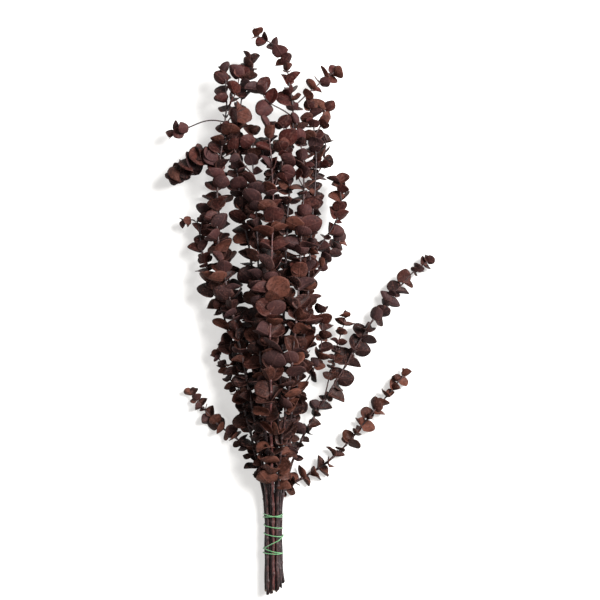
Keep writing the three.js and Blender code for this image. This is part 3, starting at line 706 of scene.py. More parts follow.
def grow_bunch() -> list[Branch]:
    """Lay out every stem, then grow the leaves from the highest branch to the lowest.

    Returns:
        The branches with their leaves, main branches first.
    """
    branches = [Branch(plan, i + 1, None) for i, plan in enumerate(BRANCHES)]
    mains = {branch.plan.name: branch for branch in branches}
    for i, plan in enumerate(SHOOTS):
        branches.append(Branch(plan, len(BRANCHES) + i + 1, mains[plan.parent]))
    thicket = Thicket(branches)
    for branch in sorted(branches, key=lambda b: -b.knots.points[:, 2].max()):
        branch.grow(thicket)
    for branch in branches:
        branch.fill(thicket)
    log.info("%d leaves", sum(len(branch.leaves) for branch in branches))
    return branches


class Socket:
    """A shader value that takes part in Python sums by adding Math nodes."""

    def __init__(self, graph: "Graph", link: bpy.types.NodeSocket) -> None:
        """Wrap a node's output."""
        self.graph, self.link = graph, link

    def _math(self, operation: str, *values: "Socket | float") -> "Socket":
        """Add one Math node."""
        return self.graph.node("ShaderNodeMath", {"operation": operation}, dict(enumerate(values)))

    def __add__(self, other: "Socket | float") -> "Socket":
        """Add."""
        return self._math("ADD", self, other)

    def __radd__(self, other: float) -> "Socket":
        """Add, reflected."""
        return self._math("ADD", other, self)

    def __sub__(self, other: "Socket | float") -> "Socket":
        """Subtract."""
        return self._math("SUBTRACT", self, other)

    def __rsub__(self, other: float) -> "Socket":
        """Subtract, reflected."""
        return self._math("SUBTRACT", other, self)

    def __mul__(self, other: "Socket | float") -> "Socket":
        """Multiply."""
        return self._math("MULTIPLY", self, other)

    def __rmul__(self, other: float) -> "Socket":
        """Multiply, reflected."""
        return self._math("MULTIPLY", other, self)

    def __pow__(self, power: float) -> "Socket":
        """Raise to a power."""
        return self._math("POWER", self, power)

    def size(self) -> "Socket":
        """Return the value without its sign."""
        return self._math("ABSOLUTE", self)

    def wave(self) -> "Socket":
        """Return the sine."""
        return self._math("SINE", self)

    def step(self, low: float, high: float) -> "Socket":
        """Rise smoothly from 0 to 1.

        Args:
            low: The value at which it is 0.
            high: The value at which it is 1; where this is the lower of the two, it falls instead.

        Returns:
            The smoothed value.
        """
        rising = low < high
        return self.graph.node("ShaderNodeMapRange", {"interpolation_type": "SMOOTHSTEP"}, {
            "Value": self, "From Min": min(low, high), "From Max": max(low, high),
            "To Min": 0.0 if rising else 1.0, "To Max": 1.0 if rising else 0.0})


Input = Socket | float | tuple[float, ...]


class Graph:
    """The nodes of one material."""

    def __init__(self, name: str) -> None:
        """Start a material that holds only its output."""
        self.material = bpy.data.materials.new(name)
        self.material.use_nodes = True
        self.tree = self.material.node_tree
        self.tree.nodes.clear()

    def node(self, kind: str, settings: dict[str, object], inputs: dict[str | int, Input],
             output: str | int = 0) -> Socket:
        """Add a node.

        Args:
            kind: The node's type.
            settings: Its own options, set first.
            inputs: Values or links for its sockets, by name or place.
            output: The output to return, by name or place.

        Returns:
            That output.
        """
        made = self.tree.nodes.new(kind)
        for key, value in settings.items():
            setattr(made, key, value)
        for key, value in inputs.items():
            if isinstance(value, Socket):
                self.tree.links.new(value.link, made.inputs[key])
            else:
                made.inputs[key].default_value = value
        return Socket(self, made.outputs[output])

    def blend(self, share: Input, a: Input, b: Input) -> Socket:
        """Mix colour a with colour b by a share."""
        return self.node("ShaderNodeMix", {"data_type": "RGBA"}, {0: share, 6: a, 7: b}, 2)

    def noise(self, where: Socket, scale: float, detail: float) -> Socket:
        """Return cloudy noise from 0 to 1 at a place."""
        return self.node("ShaderNodeTexNoise", {}, {"Vector": where, "Scale": scale, "Detail": detail})

    def place(self) -> Socket:
        """Return the place on the object, in metres."""
        return self.node("ShaderNodeTexCoord", {}, {}, "Object")

    def uv(self, stretch: tuple[float, float, float] = (1.0, 1.0, 1.0)) -> Socket:
        """Return the piece's own surface map, stretched."""
        flat = self.node("ShaderNodeUVMap", {"uv_map": "surface"}, {})
        return self.node("ShaderNodeMapping", {}, {"Vector": flat, "Scale": stretch})

    def parts(self, vector: Socket) -> tuple[Socket, Socket, Socket]:
        """Return the three parts of a vector."""
        first = self.node("ShaderNodeSeparateXYZ", {}, {"Vector": vector})
        outputs = first.link.node.outputs
        return first, Socket(self, outputs[1]), Socket(self, outputs[2])

    def attribute(self, name: str) -> tuple[Socket, Socket, Socket, Socket]:
        """Return the four parts of a mesh attribute."""
        read = self.node("ShaderNodeAttribute", {"attribute_name": name}, {}, "Vector")
        return (*self.parts(read), Socket(self, read.link.node.outputs["Alpha"]))

    def finish(self, constants: dict[str, float], inputs: dict[str, Input], height: Socket,
               bump: float) -> bpy.types.Material:
        """Close the material with one shader and a bump.

        Args:
            constants: Values set on the shader's own sockets.
            inputs: What varies over the surface.
            height: The height that the bump reads.
            bump: The height of the bump in metres.

        Returns:
            The material.
        """
        normal = self.node("ShaderNodeBump", {}, {"Height": height, "Distance": bump, "Strength": 1.0})
        shader = self.node("ShaderNodeBsdfPrincipled", {}, {**constants, **inputs, "Normal": normal})
        out = self.tree.nodes.new("ShaderNodeOutputMaterial")
        self.tree.links.new(shader.link, out.inputs["Surface"])
        return self.material


@dataclass(frozen=True)
class LeafFinish:
    """Dried, dyed leaves: brown to red above, mauve below, with a rib, faint veins and a worn rim; darker by
    chance, with painted shade where other leaves lie over them and on the crinkles' hollows, and painted
    highlight on their crests.
    """

    brown: tuple[float, ...] = (0.028, 0.0092, 0.0056, 1)
    red: tuple[float, ...] = (0.036, 0.0058, 0.0048, 1)
    dark: tuple[float, ...] = (0.0022, 0.0011, 0.0013, 1)
    warm: tuple[float, ...] = (0.105, 0.0370, 0.0240, 1)
    mauve: tuple[float, ...] = (0.046, 0.0235, 0.0245, 1)
    rim: tuple[float, ...] = (0.085, 0.036, 0.029, 1)

    def material(self) -> bpy.types.Material:
        """Build the material from the leaf's own map and its tint with painted shade, its age, its side and
        its paleness.

        Returns:
            The material.
        """
        g = Graph("dried_leaf")
        place, flat = g.place(), g.uv()
        along, across, _ = g.parts(flat)
        tint_and_painted_shade, age, back, shade = g.attribute("growth")
        offset = (across - 0.5).size()
        rib = offset.step(0.045, 0.012)
        vein = ((along - 0.55 * offset) * 44.0).wave().size().step(0.28, 0.02) * offset.step(0.5, 0.1)
        reach = (along * 2.0 - 1.0) ** 2.0 + (offset * 2.0) ** 2.0
        rim = reach.step(0.72, 1.02)
        patches, crumple = g.noise(place, 130.0, 4.0), g.noise(place, 360.0, 3.0)
        grain = g.noise(place, 900.0, 2.0)
        colour = g.blend(age, self.brown, self.red)
        # darkening by the leaf's own chance and its branch's dusk, plus painted shade where other leaves lie
        # over it
        colour = g.blend(tint_and_painted_shade.step(0.12, 0.8) * 0.92, colour, self.dark)
        colour = g.blend(shade.step(0.6, 0.98) * 0.62, colour, self.warm)
        colour = g.blend(patches.step(0.42, 0.72) * 0.55, colour, self.dark)
        # painted shade in the crumple's hollows, then painted highlight in the pale rim colour on its crests
        colour = g.blend(crumple.step(0.5, 0.3) * 0.5, colour, self.dark)
        colour = g.blend(crumple.step(0.52, 0.72) * 0.5, colour, self.rim)
        colour = g.blend(grain.step(0.5, 0.75) * 0.3, colour, self.warm)
        colour = g.blend((back * 0.4 + 0.05) * shade.step(0.6, 0.1), colour, self.mauve)
        colour = g.blend(rim * 0.3 + rib * 0.16 + vein * 0.08, colour, self.rim)
        rough = 0.5 + (patches - 0.5) * 0.35 + (grain - 0.5) * 0.15 + back * 0.1
        height = rib * (back * 2.0 - 1.0) * 0.7 + vein * 0.22 + grain * 0.25 + patches * 0.5 + crumple
        constants = {"IOR": 1.45, "Specular IOR Level": 0.11}
        return g.finish(constants, {"Base Color": colour, "Roughness": rough}, height, 0.0005)


@dataclass(frozen=True)
class BarkFinish:
    """The bark of one branch: streaks along it, a grey bloom, paler joints, pale flecks that are nicks and
    painted glints, and pale wood where it is cut.
    """

    name: str
    deep: tuple[float, ...]
    light: tuple[float, ...]
    bloom: tuple[float, ...] = (0.075, 0.050, 0.050, 1)
    wood: tuple[float, ...] = (0.250, 0.170, 0.120, 1)
    # pale flecks: nicks in the bark and painted glints
    nick_and_glint: tuple[float, ...] = (0.260, 0.210, 0.200, 1)

    def material(self) -> bpy.types.Material:
        """Build the material from the stem's own map, its joints and its cut end.

        Returns:
            The material.
        """
        g = Graph(self.name)
        streaks = g.noise(g.uv((5.0, 14.0, 1.0)), 1.0, 4.0)
        fine = g.noise(g.uv((11.0, 60.0, 1.0)), 1.0, 3.0)
        clouds = g.noise(g.place(), 60.0, 3.0)
        joint, cut, _, _ = g.attribute("growth")
        colour = g.blend(streaks.step(0.4, 0.64), self.deep, self.light)
        colour = g.blend(clouds.step(0.54, 0.8) * 0.4, colour, self.bloom)
        # sparse pale flecks: nicks and painted glints
        colour = g.blend(fine.step(0.64, 0.74) * 0.6, colour, self.nick_and_glint)
        colour = g.blend(joint * 0.35, colour, self.bloom)
        rings = (cut * 26.0).wave() * 0.5 + 0.5
        pale = g.blend(rings * 0.5, self.wood, self.light)
        colour = g.blend(cut.step(0.1, 0.35), colour, pale)
        rough = 0.42 + streaks * 0.2 + cut * 0.3
        height = streaks * 0.8 + fine * 0.4 + joint * 0.4
        varied = {"Base Color": colour, "Roughness": rough}
        return g.finish({"Specular IOR Level": 0.3}, varied, height, 0.0004)


@dataclass(frozen=True)
class StringFinish:
    """Green tying string: twisted strands, with painted shade in the grooves between them, and a slight
    sheen.
    """

    bright: tuple[float, ...] = (0.090, 0.300, 0.100, 1)
    deep: tuple[float, ...] = (0.022, 0.110, 0.036, 1)
    worn: tuple[float, ...] = (0.260, 0.440, 0.240, 1)
    strands: float = 3.0

    def material(self) -> bpy.types.Material:
        """Build the material from the string's own map.

        Returns:
            The material.
        """
        g = Graph("tie_string_green")
        around, along, _ = g.parts(g.uv())
        lay = ((around * self.strands - along) * math.tau).wave() * 0.5 + 0.5
        fibres = g.noise(g.uv((24.0, 3.0, 1.0)), 1.0, 3.0)
        # the deep green in the grooves between the strands is painted shade; the bright green sits on their
        # crests
        colour = g.blend(lay, self.deep, self.bright)
        colour = g.blend(fibres.step(0.5, 0.75) * 0.5, colour, self.worn)
        height = lay + fibres * 0.3
        varied = {"Base Color": colour, "Roughness": 0.45 + fibres * 0.2}
        return g.finish({"Sheen Weight": 0.3}, varied, height, 0.0002)


BARKS = {
    BarkTone.PURPLE: BarkFinish("bark_purple", (0.0040, 0.0017, 0.0022, 1), (0.026, 0.0105, 0.0115, 1)),
    BarkTone.BROWN: BarkFinish("bark_brown", (0.0055, 0.0020, 0.0020, 1), (0.038, 0.0130, 0.0115, 1)),
    BarkTone.RED: BarkFinish("bark_red", (0.018, 0.0042, 0.0042, 1), (0.072, 0.0190, 0.0165, 1)),
}


def make_piece(name: str, points: np.ndarray, faces: np.ndarray, corner_uv: np.ndarray,
               growth: np.ndarray, domain: str, material: bpy.types.Material) -> bpy.types.Object:
    """Put a shell of quads and its maps into a mesh object.

    Args:
        name: The piece's name.
        points: Places in the routes' millimetres.
        faces: Four point numbers for each face; a number repeated at the end makes a triangle.
        corner_uv: The surface map, one pair for each corner of each face.
        growth: Four numbers for each point or face.
        domain: POINT or FACE, for the growth numbers.
        material: The finish.

    Returns:
        The object, at the origin.
    """
    mesh = bpy.data.meshes.new(name)
    metres = (points - ORIGIN) / 1000
    keep = np.ones(faces.shape, bool)
    keep[:, 3] = faces[:, 3] != faces[:, 2]
    counts = keep.sum(axis=1)
    mesh.vertices.add(len(metres))
    mesh.vertices.foreach_set("co", metres.astype(np.float32).ravel())
    mesh.loops.add(int(counts.sum()))
    mesh.loops.foreach_set("vertex_index", faces[keep].astype(np.int32))
    mesh.polygons.add(len(faces))
    mesh.polygons.foreach_set("loop_start", np.concatenate([[0], np.cumsum(counts)[:-1]]).astype(np.int32))
    mesh.update(calc_edges=True)
    layer = mesh.uv_layers.new(name="surface")
    layer.data.foreach_set("uv", corner_uv[keep].astype(np.float32).ravel())
    values = mesh.attributes.new("growth", "FLOAT_COLOR", domain)
    values.data.foreach_set("color", growth.astype(np.float32).ravel())
    mesh.validate()
    mesh.shade_smooth()
    mesh.materials.append(material)
    piece = bpy.data.objects.new(name, mesh)
    bpy.context.scene.collection.objects.link(piece)
    return piece


def tube(points: np.ndarray, normal: np.ndarray, side: np.ndarray, radius: np.ndarray,
         ) -> tuple[np.ndarray, np.ndarray, np.ndarray]:
    """Carry a ring along a path and close it with a point at each end.

    A point of the ring is the path point + radius (normal cos a + side sin a).

    Args:
        points: The path.
        normal: The direction of angle 0 at each path point.
        side: The direction of a quarter turn there.
        radius: The radius for each path point and each angle.

    Returns:
        The points, the faces and the surface map of each corner: the share round, and the path point's
        number.
    """
    steps, sides = radius.shape
    angle = np.arange(sides) * (math.tau / sides)
    ring = normal[:, None] * np.cos(angle)[None, :, None] + side[:, None] * np.sin(angle)[None, :, None]
    skin = (points[:, None] + ring * radius[:, :, None]).reshape(-1, 3)
    i, j = np.meshgrid(np.arange(steps - 1), np.arange(sides), indexing="ij")
    i, j = i.ravel(), j.ravel()
    nxt = (j + 1) % sides
    wall = np.stack([i * sides + j, i * sides + nxt, (i + 1) * sides + nxt, (i + 1) * sides + j], axis=1)
    wall_uv = np.stack([
        np.stack([j / sides, i], 1), np.stack([(j + 1) / sides, i], 1),
        np.stack([(j + 1) / sides, i + 1], 1), np.stack([j / sides, i + 1], 1)], axis=1)
    k = np.arange(sides)
    first, last = len(skin), len(skin) + 1
    head = np.stack([(k + 1) % sides, k, np.full(sides, first), np.full(sides, first)], axis=1)
    base = (steps - 1) * sides
    tail = np.stack([base + k, base + (k + 1) % sides, np.full(sides, last), np.full(sides, last)], axis=1)
    head_uv = np.stack([np.stack([k / sides, np.zeros(sides)], 1)] * 4, axis=1)
    tail_uv = np.stack([np.stack([k / sides, np.full(sides, steps - 1.0)], 1)] * 4, axis=1)
    return (np.vstack([skin, points[:1], points[-1:]]), np.vstack([wall, head, tail]),
            np.concatenate([wall_uv, head_uv, tail_uv]))


@dataclass
class LeafShape:
    """The form that every leaf shares: a round blade with a small point, on a grid drawn out to a disc.

    Each pair of numbers is a share and its spread by chance.
    """

    stops: tuple[float, ...] = (-1.0, -0.87, -0.45, 0.0, 0.45, 0.87, 1.0)
    thickness: float = 0.8
    point_share: float = 0.07
    lobe: float = 0.35
    narrowing: float = 0.06
    crease: float = 0.05
    shut: float = 0.5
    shut_from: float = 0.7
    reach: tuple[float, float] = (0.93, 0.1)
    breadth: tuple[float, float] = (0.96, 0.2)
    cup: tuple[float, float] = (-0.35, 0.3)  # an offset and a factor
    wave: float = 0.03
    tip_spread: float = 0.2
    twist: float = 1.0
    lie: float = 0.15
    softness: float = 0.3

    def __post_init__(self) -> None:
        """Work out the disc, the faces of one leaf and the map of their corners."""
        stops = np.array(self.stops)
        n = len(stops)
        p, q = (grid.ravel() for grid in np.meshgrid(stops, stops, indexing="ij"))
        inside = (np.abs(p) < 1) & (np.abs(q) < 1)
        under = np.arange(n * n)
        under[inside] = n * n + np.arange(inside.sum())
        p, q = np.concatenate([p, p[inside]]), np.concatenate([q, q[inside]])
        self.level = np.concatenate([inside * 1.0, -np.ones(inside.sum())])
        self.dx, self.dy = p * np.sqrt(1 - q * q / 2), q * np.sqrt(1 - p * p / 2)
        i, j = (grid.ravel() for grid in np.meshgrid(np.arange(n - 1), np.arange(n - 1), indexing="ij"))
        top = np.stack([i * n + j, (i + 1) * n + j, (i + 1) * n + j + 1, i * n + j + 1], axis=1)
        self.faces = np.vstack([top, under[top][:, ::-1]])
        self.back = np.repeat([0.0, 1.0], len(top))
        self.along = (0.5 + 0.5 * self.dx) * (1 - self.point_share)
        self.along += self.point_share * np.maximum(self.dx, 0) ** 8
        self.along -= self.lobe * self.dy ** 2 * np.minimum(self.dx, 0) ** 2
        self.width = 0.5 * self.dy * (1 - self.narrowing * self.dx)
        self.corner_uv = np.stack([self.along, self.width + 0.5], axis=1)[self.faces]

    def blades(self, leaves: list[Leaf], index: int) -> np.ndarray:
        """Bend the shape into every leaf of a branch.

        In leaf lengths, a point is u along the leaf and v across it. Its height over the leaf's plane is the
        fold's rise with |v|, rounded at the rib, plus a cup that grows with the square of the distance from
        the middle, plus a wave round the rim, less the tip's curl that grows with u squared. The blade also
        turns about its length with u. Where it would reach the surface it bends up smoothly and lies on it.

        Args:
            leaves: The leaves.
            index: The branch's number.

        Returns:
            Points, leaves by points by 3, in millimetres.
        """
        def column(values: list[float]) -> np.ndarray:
            """Stack one number for each leaf."""
            return np.array(values, float)[:, None]

        roll = np.array([[chance(index, leaf.number, 200 + k) for k in range(7)] for leaf in leaves])
        point = np.array([leaf.point for leaf in leaves])[:, None]
        axis = np.array([leaf.axis for leaf in leaves])[:, None]
        across = np.array([leaf.across for leaf in leaves])[:, None]
        face = np.array([leaf.face for leaf in leaves])[:, None]
        length, fold = column([leaf.length for leaf in leaves]), column([leaf.fold for leaf in leaves])
        curl = column([leaf.curl for leaf in leaves])
        fold = fold + self.shut * np.maximum(roll[:, 6:7] - self.shut_from, 0) / (1 - self.shut_from)
        round_off = self.dx ** 2 + self.dy ** 2
        bearing = np.arctan2(self.dy, self.dx)
        u = self.along[None] * (self.reach[0] + self.reach[1] * roll[:, 3:4])
        v = self.width[None] * (self.breadth[0] + self.breadth[1] * roll[:, 0:1])
        lift = np.sin(fold) * (np.sqrt(v * v + self.crease ** 2) - self.crease)
        cup = (roll[:, 1:2] + self.cup[0]) * self.cup[1] * round_off
        wave = self.wave * round_off ** 2 * np.sin(3 * bearing + math.tau * roll[:, 2:3])
        curl = curl + self.tip_spread * (roll[:, 5:6] - 0.5)
        height = lift + cup + wave - curl * self.along[None] ** 2
        turn = (roll[:, 4:5] - 0.5) * self.twist * self.along[None]
        v = v * np.cos(fold)
        v, height = v * np.cos(turn) - height * np.sin(turn), v * np.sin(turn) + height * np.cos(turn)
        middle = point + length[..., None] * (u[..., None] * axis + v[..., None] * across
                                              + height[..., None] * face)
        floor = self.thickness / 2 + self.lie
        above = middle[..., 2] - floor
        middle[..., 2] = floor + (above + np.sqrt(above ** 2 + self.softness)) / 2
        return middle + face * (self.level[None, :, None] * self.thickness / 2)


@dataclass
class Foliage:
    """All leaves of one branch."""

    branch: Branch
    shape: LeafShape
    material: bpy.types.Material
    crowd: np.ndarray
    # how near and how much higher the leaves over a leaf must be, and how many, for its painted shade
    cover_reach: float = 24.0
    cover_rise: float = 7.0
    cover_count: float = 5.0
    own_share: float = 0.55
    # painted shade: how far the leaves lying over a leaf darken it
    painted_shade_share: float = 0.6
    dusk_share: float = 0.6
    reddening: tuple[float, float] = (180.0, 420.0)

    def build(self) -> bpy.types.Object:
        """Make the leaves as one piece, each a closed blade with its own tint, painted shade and age.

        Returns:
            The piece.
        """
        branch, leaves = self.branch, self.branch.leaves
        points = self.shape.blades(leaves, branch.index)
        count, each = points.shape[:2]
        faces = (self.shape.faces[None] + (np.arange(count) * each)[:, None, None]).reshape(-1, 4)
        uv = np.tile(self.shape.corner_uv, (count, 1, 1))
        rolls = [[self._darkness_and_painted_shade(leaf), self._age(leaf), 0.0, self._paleness(leaf)] for leaf in leaves]
        growth = np.repeat(np.array(rolls), len(self.shape.faces), axis=0)
        growth[:, 2] = np.tile(self.shape.back, count)
        name = branch.node + "_leaves"
        return make_piece(name, points.reshape(-1, 3), faces, uv, growth, "FACE", self.material)

    def _darkness_and_painted_shade(self, leaf: Leaf) -> float:
        """Work out how dark a leaf is: dried darker by chance and on a dusky branch, with painted shade
        added.

        Args:
            leaf: The leaf.

        Returns:
            The darkness: by its own chance and its branch's dusk, plus painted shade that grows the more
                leaves lie over it.
        """
        beside = np.linalg.norm(self.crowd[:, :2] - leaf.centre[:2], axis=1)
        over = ((beside < self.cover_reach) & (self.crowd[:, 2] > leaf.centre[2] + self.cover_rise)).sum()
        own = self.own_share * chance(self.branch.index, leaf.number, 210)
        # painted shade: darker the more leaves lie over this one
        painted_shade = self.painted_shade_share * (1 - math.exp(-over / self.cover_count))
        return float(self.branch.plan.dusk + own + painted_shade)

    def _paleness(self, leaf: Leaf) -> float:
        """Return how warm and pale a leaf dried: by its own chance, and less so on a dusky branch."""
        own = chance(self.branch.index, leaf.number, 211)
        return min(1.0, max(0.0, own - self.dusk_share * self.branch.plan.dusk))

    def _age(self, leaf: Leaf) -> float:
        """Return how red a leaf is: the leaves redden towards the top of the bunch."""
        return min(1.0, max(0.0, (leaf.point[1] - self.reddening[0]) / self.reddening[1]))


@dataclass
class Stem:
    """The woody stem of one branch, from its cut end or its fork to its tip."""

    branch: Branch
    sides: int = 10
    pace: float = 6.0
    joint_reach: float = 1.2
    joint_swell: float = 0.32
    scar_gap: float = 27.0
    scar_height: float = 0.85
    scar_bloom: float = 0.8
    least_scar: float = 12.0
    sway: float = 0.3
    sway_length: float = 6.5
    sway_rise: float = 0.7
    swelling: float = 0.06
    swelling_length: float = 9.0
    lobes: float = 0.04
    tip_share: float = 0.45
    rim_share: float = 0.86
    rim_paleness: float = 0.6
    map_step: float = 100.0
    map_shift: float = 7.3

    def build(self, material: bpy.types.Material) -> bpy.types.Object:
        """Make the stem: a ring carried along the axis, swollen at joints and scars, slanted at the cut.

        A swelling is exp(-(d / joint_reach) squared) for a distance d along the stem; a scar's stands out on
        two sides only, by the fifth power of the cosine to its direction. The axis sways by two sines.

        Args:
            material: The bark.

        Returns:
            The piece.
        """
        branch = self.branch
        axis = branch.axis
        joints = np.array(sorted({leaf.s for leaf in branch.leaves})) * (axis.total / branch.knots.total)
        scars = np.arange(branch.plan.bare - self.scar_gap, self.least_scar, -self.scar_gap)
        scars += [self.scar_gap * 0.5 * (chance(branch.index, k, 223) - 0.5) for k in range(len(scars))]
        if branch.parent is not None:
            scars = np.zeros(0)
        marks = np.concatenate([joints, scars])
        near = (marks[:, None] + np.array([-2.0, -1.0, 0.0, 1.0, 2.0])).ravel()
        s = np.concatenate([np.arange(0, axis.total, self.pace), near, [axis.total]])
        s = np.unique(np.round(s[(s >= 0) & (s <= axis.total)], 1))
        s[-1] = min(s[-1], axis.total)
        centre = np.stack([np.interp(s, axis.lengths, axis.points[:, k]) for k in range(3)], axis=1)
        if branch.fork is not None:
            centre = np.vstack([branch.fork, centre])
            s = np.concatenate([[0.0], s + np.linalg.norm(centre[1] - branch.fork)])
            marks = marks + s[1]
            joints = joints + s[1]
        tangent = np.gradient(centre, axis=0)
        tangent /= np.linalg.norm(tangent, axis=1, keepdims=True)
        normal = UP - tangent * tangent[:, 2:3]
        normal /= np.linalg.norm(normal, axis=1, keepdims=True)
        side = np.cross(tangent, normal)
        phase = math.tau * chance(branch.index, 0, 224)
        beside = np.sin(s / self.sway_length + phase)[:, None]
        above = np.sin(s / self.sway_length * self.sway_rise + 2 * phase)[:, None]
        centre = centre + self.sway * (side * beside + normal * above)
        share = s / s[-1]
        angle = np.arange(self.sides) * (math.tau / self.sides)
        swell = np.exp(-((s[:, None] - joints) / self.joint_reach) ** 2).sum(axis=1).clip(0, 1)
        uneven = self.swelling * np.sin(s / self.swelling_length + phase)
        radius = radius_at(branch.ends, share) * (1 + self.joint_swell * swell + uneven)
        radius = radius[:, None] * (1 + self.lobes * np.sin(3 * angle + branch.index))
        scar_turn = np.array([math.tau * chance(branch.index, k, 220) for k in range(len(scars))])
        if len(scars):
            bump = np.exp(-((s[:, None] - scars) / self.joint_reach) ** 2)
            facing = np.abs(np.cos(angle[None] - scar_turn[:, None])) ** 5
            radius = radius + self.scar_height * (bump @ facing)
            swell = np.maximum(swell, bump.sum(axis=1).clip(0, 1) * self.scar_bloom)
        radius[-1] *= self.tip_share
        points, faces, uv = tube(centre, normal, side, radius)
        growth = np.zeros((len(points), 4))
        growth[:, 0] = np.concatenate([np.repeat(swell, self.sides), [0.0, 0.0]])
        if branch.parent is None:
            points, faces, uv, growth = self._cut_end(points, faces, uv, growth, tangent[0])
        uv[..., 1] = np.interp(uv[..., 1], np.arange(len(s)), s) / self.map_step
        uv[..., 0] += branch.index * self.map_shift
        return make_piece(branch.node + "_stem", points, faces, uv, growth, "POINT", material)

    def _cut_end(self, points: np.ndarray, faces: np.ndarray, uv: np.ndarray, growth: np.ndarray,
                 tangent: np.ndarray) -> tuple[np.ndarray, ...]:
        """Slant the first ring as cutters do, and set a smaller ring in it, so that the edge is crisp.

        Args:
            points: The tube's points; its first ring is the end.
            faces: Its faces.
            uv: Its surface map.
            growth: Its growth numbers.
            tangent: The stem's direction at the end.

        Returns:
            The same four with the cut added.
        """
        n, slope = self.sides, 0.5 + 0.5 * chance(self.branch.index, 0, 221)
        turn = math.tau * chance(self.branch.index, 0, 222)
        angle = np.arange(n) * (math.tau / n)
        middle = points[-2]
        shift = np.cos(angle - turn) * slope * np.linalg.norm(points[:n] - middle, axis=1)
        points[:n] = points[:n] + tangent * shift[:, None]
        inner = middle + (points[:n] - middle) * self.rim_share
        start = len(points)
        points = np.vstack([points, inner])
        growth = np.vstack([growth, np.tile([0.0, self.rim_paleness, 0.0, 0.0], (n, 1))])
        growth[start - 2, 1] = 1.0
        k = np.arange(n)
        nxt = (k + 1) % n
        head = faces[:, 2] == start - 2
        faces[head] = np.stack([start + nxt, start + k, np.full(n, start - 2), np.full(n, start - 2)], axis=1)
        band = np.stack([nxt, k, start + k, start + nxt], axis=1)
        band_uv = np.stack([np.stack([k / n, np.zeros(n)], 1)] * 4, axis=1)
        return points, np.vstack([faces, band]), np.concatenate([uv, band_uv]), growth


@dataclass
class TieString:
    """The green string wound round the bundle, pulled tight over the outer stems."""

    branches: list[Branch]
    radius: float = 0.56
    sides: int = 12
    half_turn_steps: int = 30
    strand_height: float = 0.07
    lay_length: float = 3.6
    slack: float = 0.15
    smoothing: int = 5
    layer_share: float = 0.95
    directions: int = 180

    def path(self) -> np.ndarray:
        """Wind the string: half a turn over the bundle, half a turn under it, for each turn.

        The distance from the bundle's middle is that of a taut band round the stems: over all outward
        directions, the least of the stems' reach in it divided by the cosine to the point's own direction.

        Returns:
            The path's points in millimetres.
        """
        heights, bearings, overs = [], [], []
        steps = np.arange(self.half_turn_steps) / self.half_turn_steps
        for n, (left, right, over) in enumerate(STRING_TURNS):
            heights.append(left + (right - left) * steps)
            bearings.append((2 * n + steps) * math.pi)
            overs.append(np.full(len(steps), float(over)))
            if n + 1 < len(STRING_TURNS):
                following = STRING_TURNS[n + 1]
                heights.append(right + (following[0] - right) * steps)
                bearings.append((2 * n + 1 + steps) * math.pi)
                overs.append(over + (following[2] - over) * steps)
        y, bearing, over = np.concatenate(heights), np.concatenate(bearings), np.concatenate(overs)
        kernel = np.hanning(2 * self.smoothing + 1)
        kernel /= kernel.sum()
        y, over = (np.convolve(np.pad(values, self.smoothing, mode="edge"), kernel, mode="valid")
                   for values in (y, over))
        reach = self._taut_reach(y, bearing) + over * 2 * self.radius * self.layer_share
        return np.stack([-np.cos(bearing) * reach, y, BUNDLE_HEIGHT + np.sin(bearing) * reach], axis=1)

    def _taut_reach(self, y: np.ndarray, bearing: np.ndarray) -> np.ndarray:
        """Find how far from the bundle's middle a taut band lies.

        Args:
            y: The place of each path point along the bundle.
            bearing: Its direction from the middle.

        Returns:
            The distance of each path point.
        """
        mains = [branch for branch in self.branches if branch.parent is None]
        x = np.stack([np.interp(y, b.axis.points[:, 1], b.axis.points[:, 0]) for b in mains], axis=1)
        z = np.stack([np.interp(y, b.axis.points[:, 1], b.axis.points[:, 2]) for b in mains], axis=1)
        thick = np.stack([radius_at(b.ends, y / b.axis.total) for b in mains], axis=1)
        out = np.linspace(0, math.tau, self.directions, endpoint=False)
        reach = (-x[:, :, None] * np.cos(out) + (z - BUNDLE_HEIGHT)[:, :, None] * np.sin(out)
                 + thick[:, :, None]).max(axis=1) + self.radius + self.slack
        towards, least = np.cos(out[None] - bearing[:, None]), 0.1
        return np.where(towards > least, reach / np.maximum(towards, least), np.inf).min(axis=1)

    def build(self, material: bpy.types.Material) -> bpy.types.Object:
        """Make the string: a ring with three low swells, turning as it is carried along the path.

        Args:
            material: The string's finish.

        Returns:
            The piece.
        """
        points = self.path()
        tangent = np.gradient(points, axis=0)
        tangent /= np.linalg.norm(tangent, axis=1, keepdims=True)
        out = points - np.array([0.0, 0.0, BUNDLE_HEIGHT])
        out[:, 1] = 0.0
        out -= tangent * (out * tangent).sum(axis=1, keepdims=True)
        normal = out / np.linalg.norm(out, axis=1, keepdims=True)
        side = np.cross(tangent, normal)
        s = np.concatenate([[0.0], np.cumsum(np.linalg.norm(np.diff(points, axis=0), axis=1))])
        log.info("string: %.0f mm along its middle", s[-1])
        angle = np.arange(self.sides) * (math.tau / self.sides)
        swell = np.cos(3 * angle[None] - math.tau * s[:, None] / self.lay_length)
        radius = self.radius * (1 + self.strand_height * swell)
        points, faces, uv = tube(points, normal, side, radius)
        uv[..., 1] = np.interp(uv[..., 1], np.arange(len(s)), s) / self.lay_length
        growth = np.zeros((len(points), 4))
        return make_piece("tie_string_twisted", points, faces, uv, growth, "POINT", material)


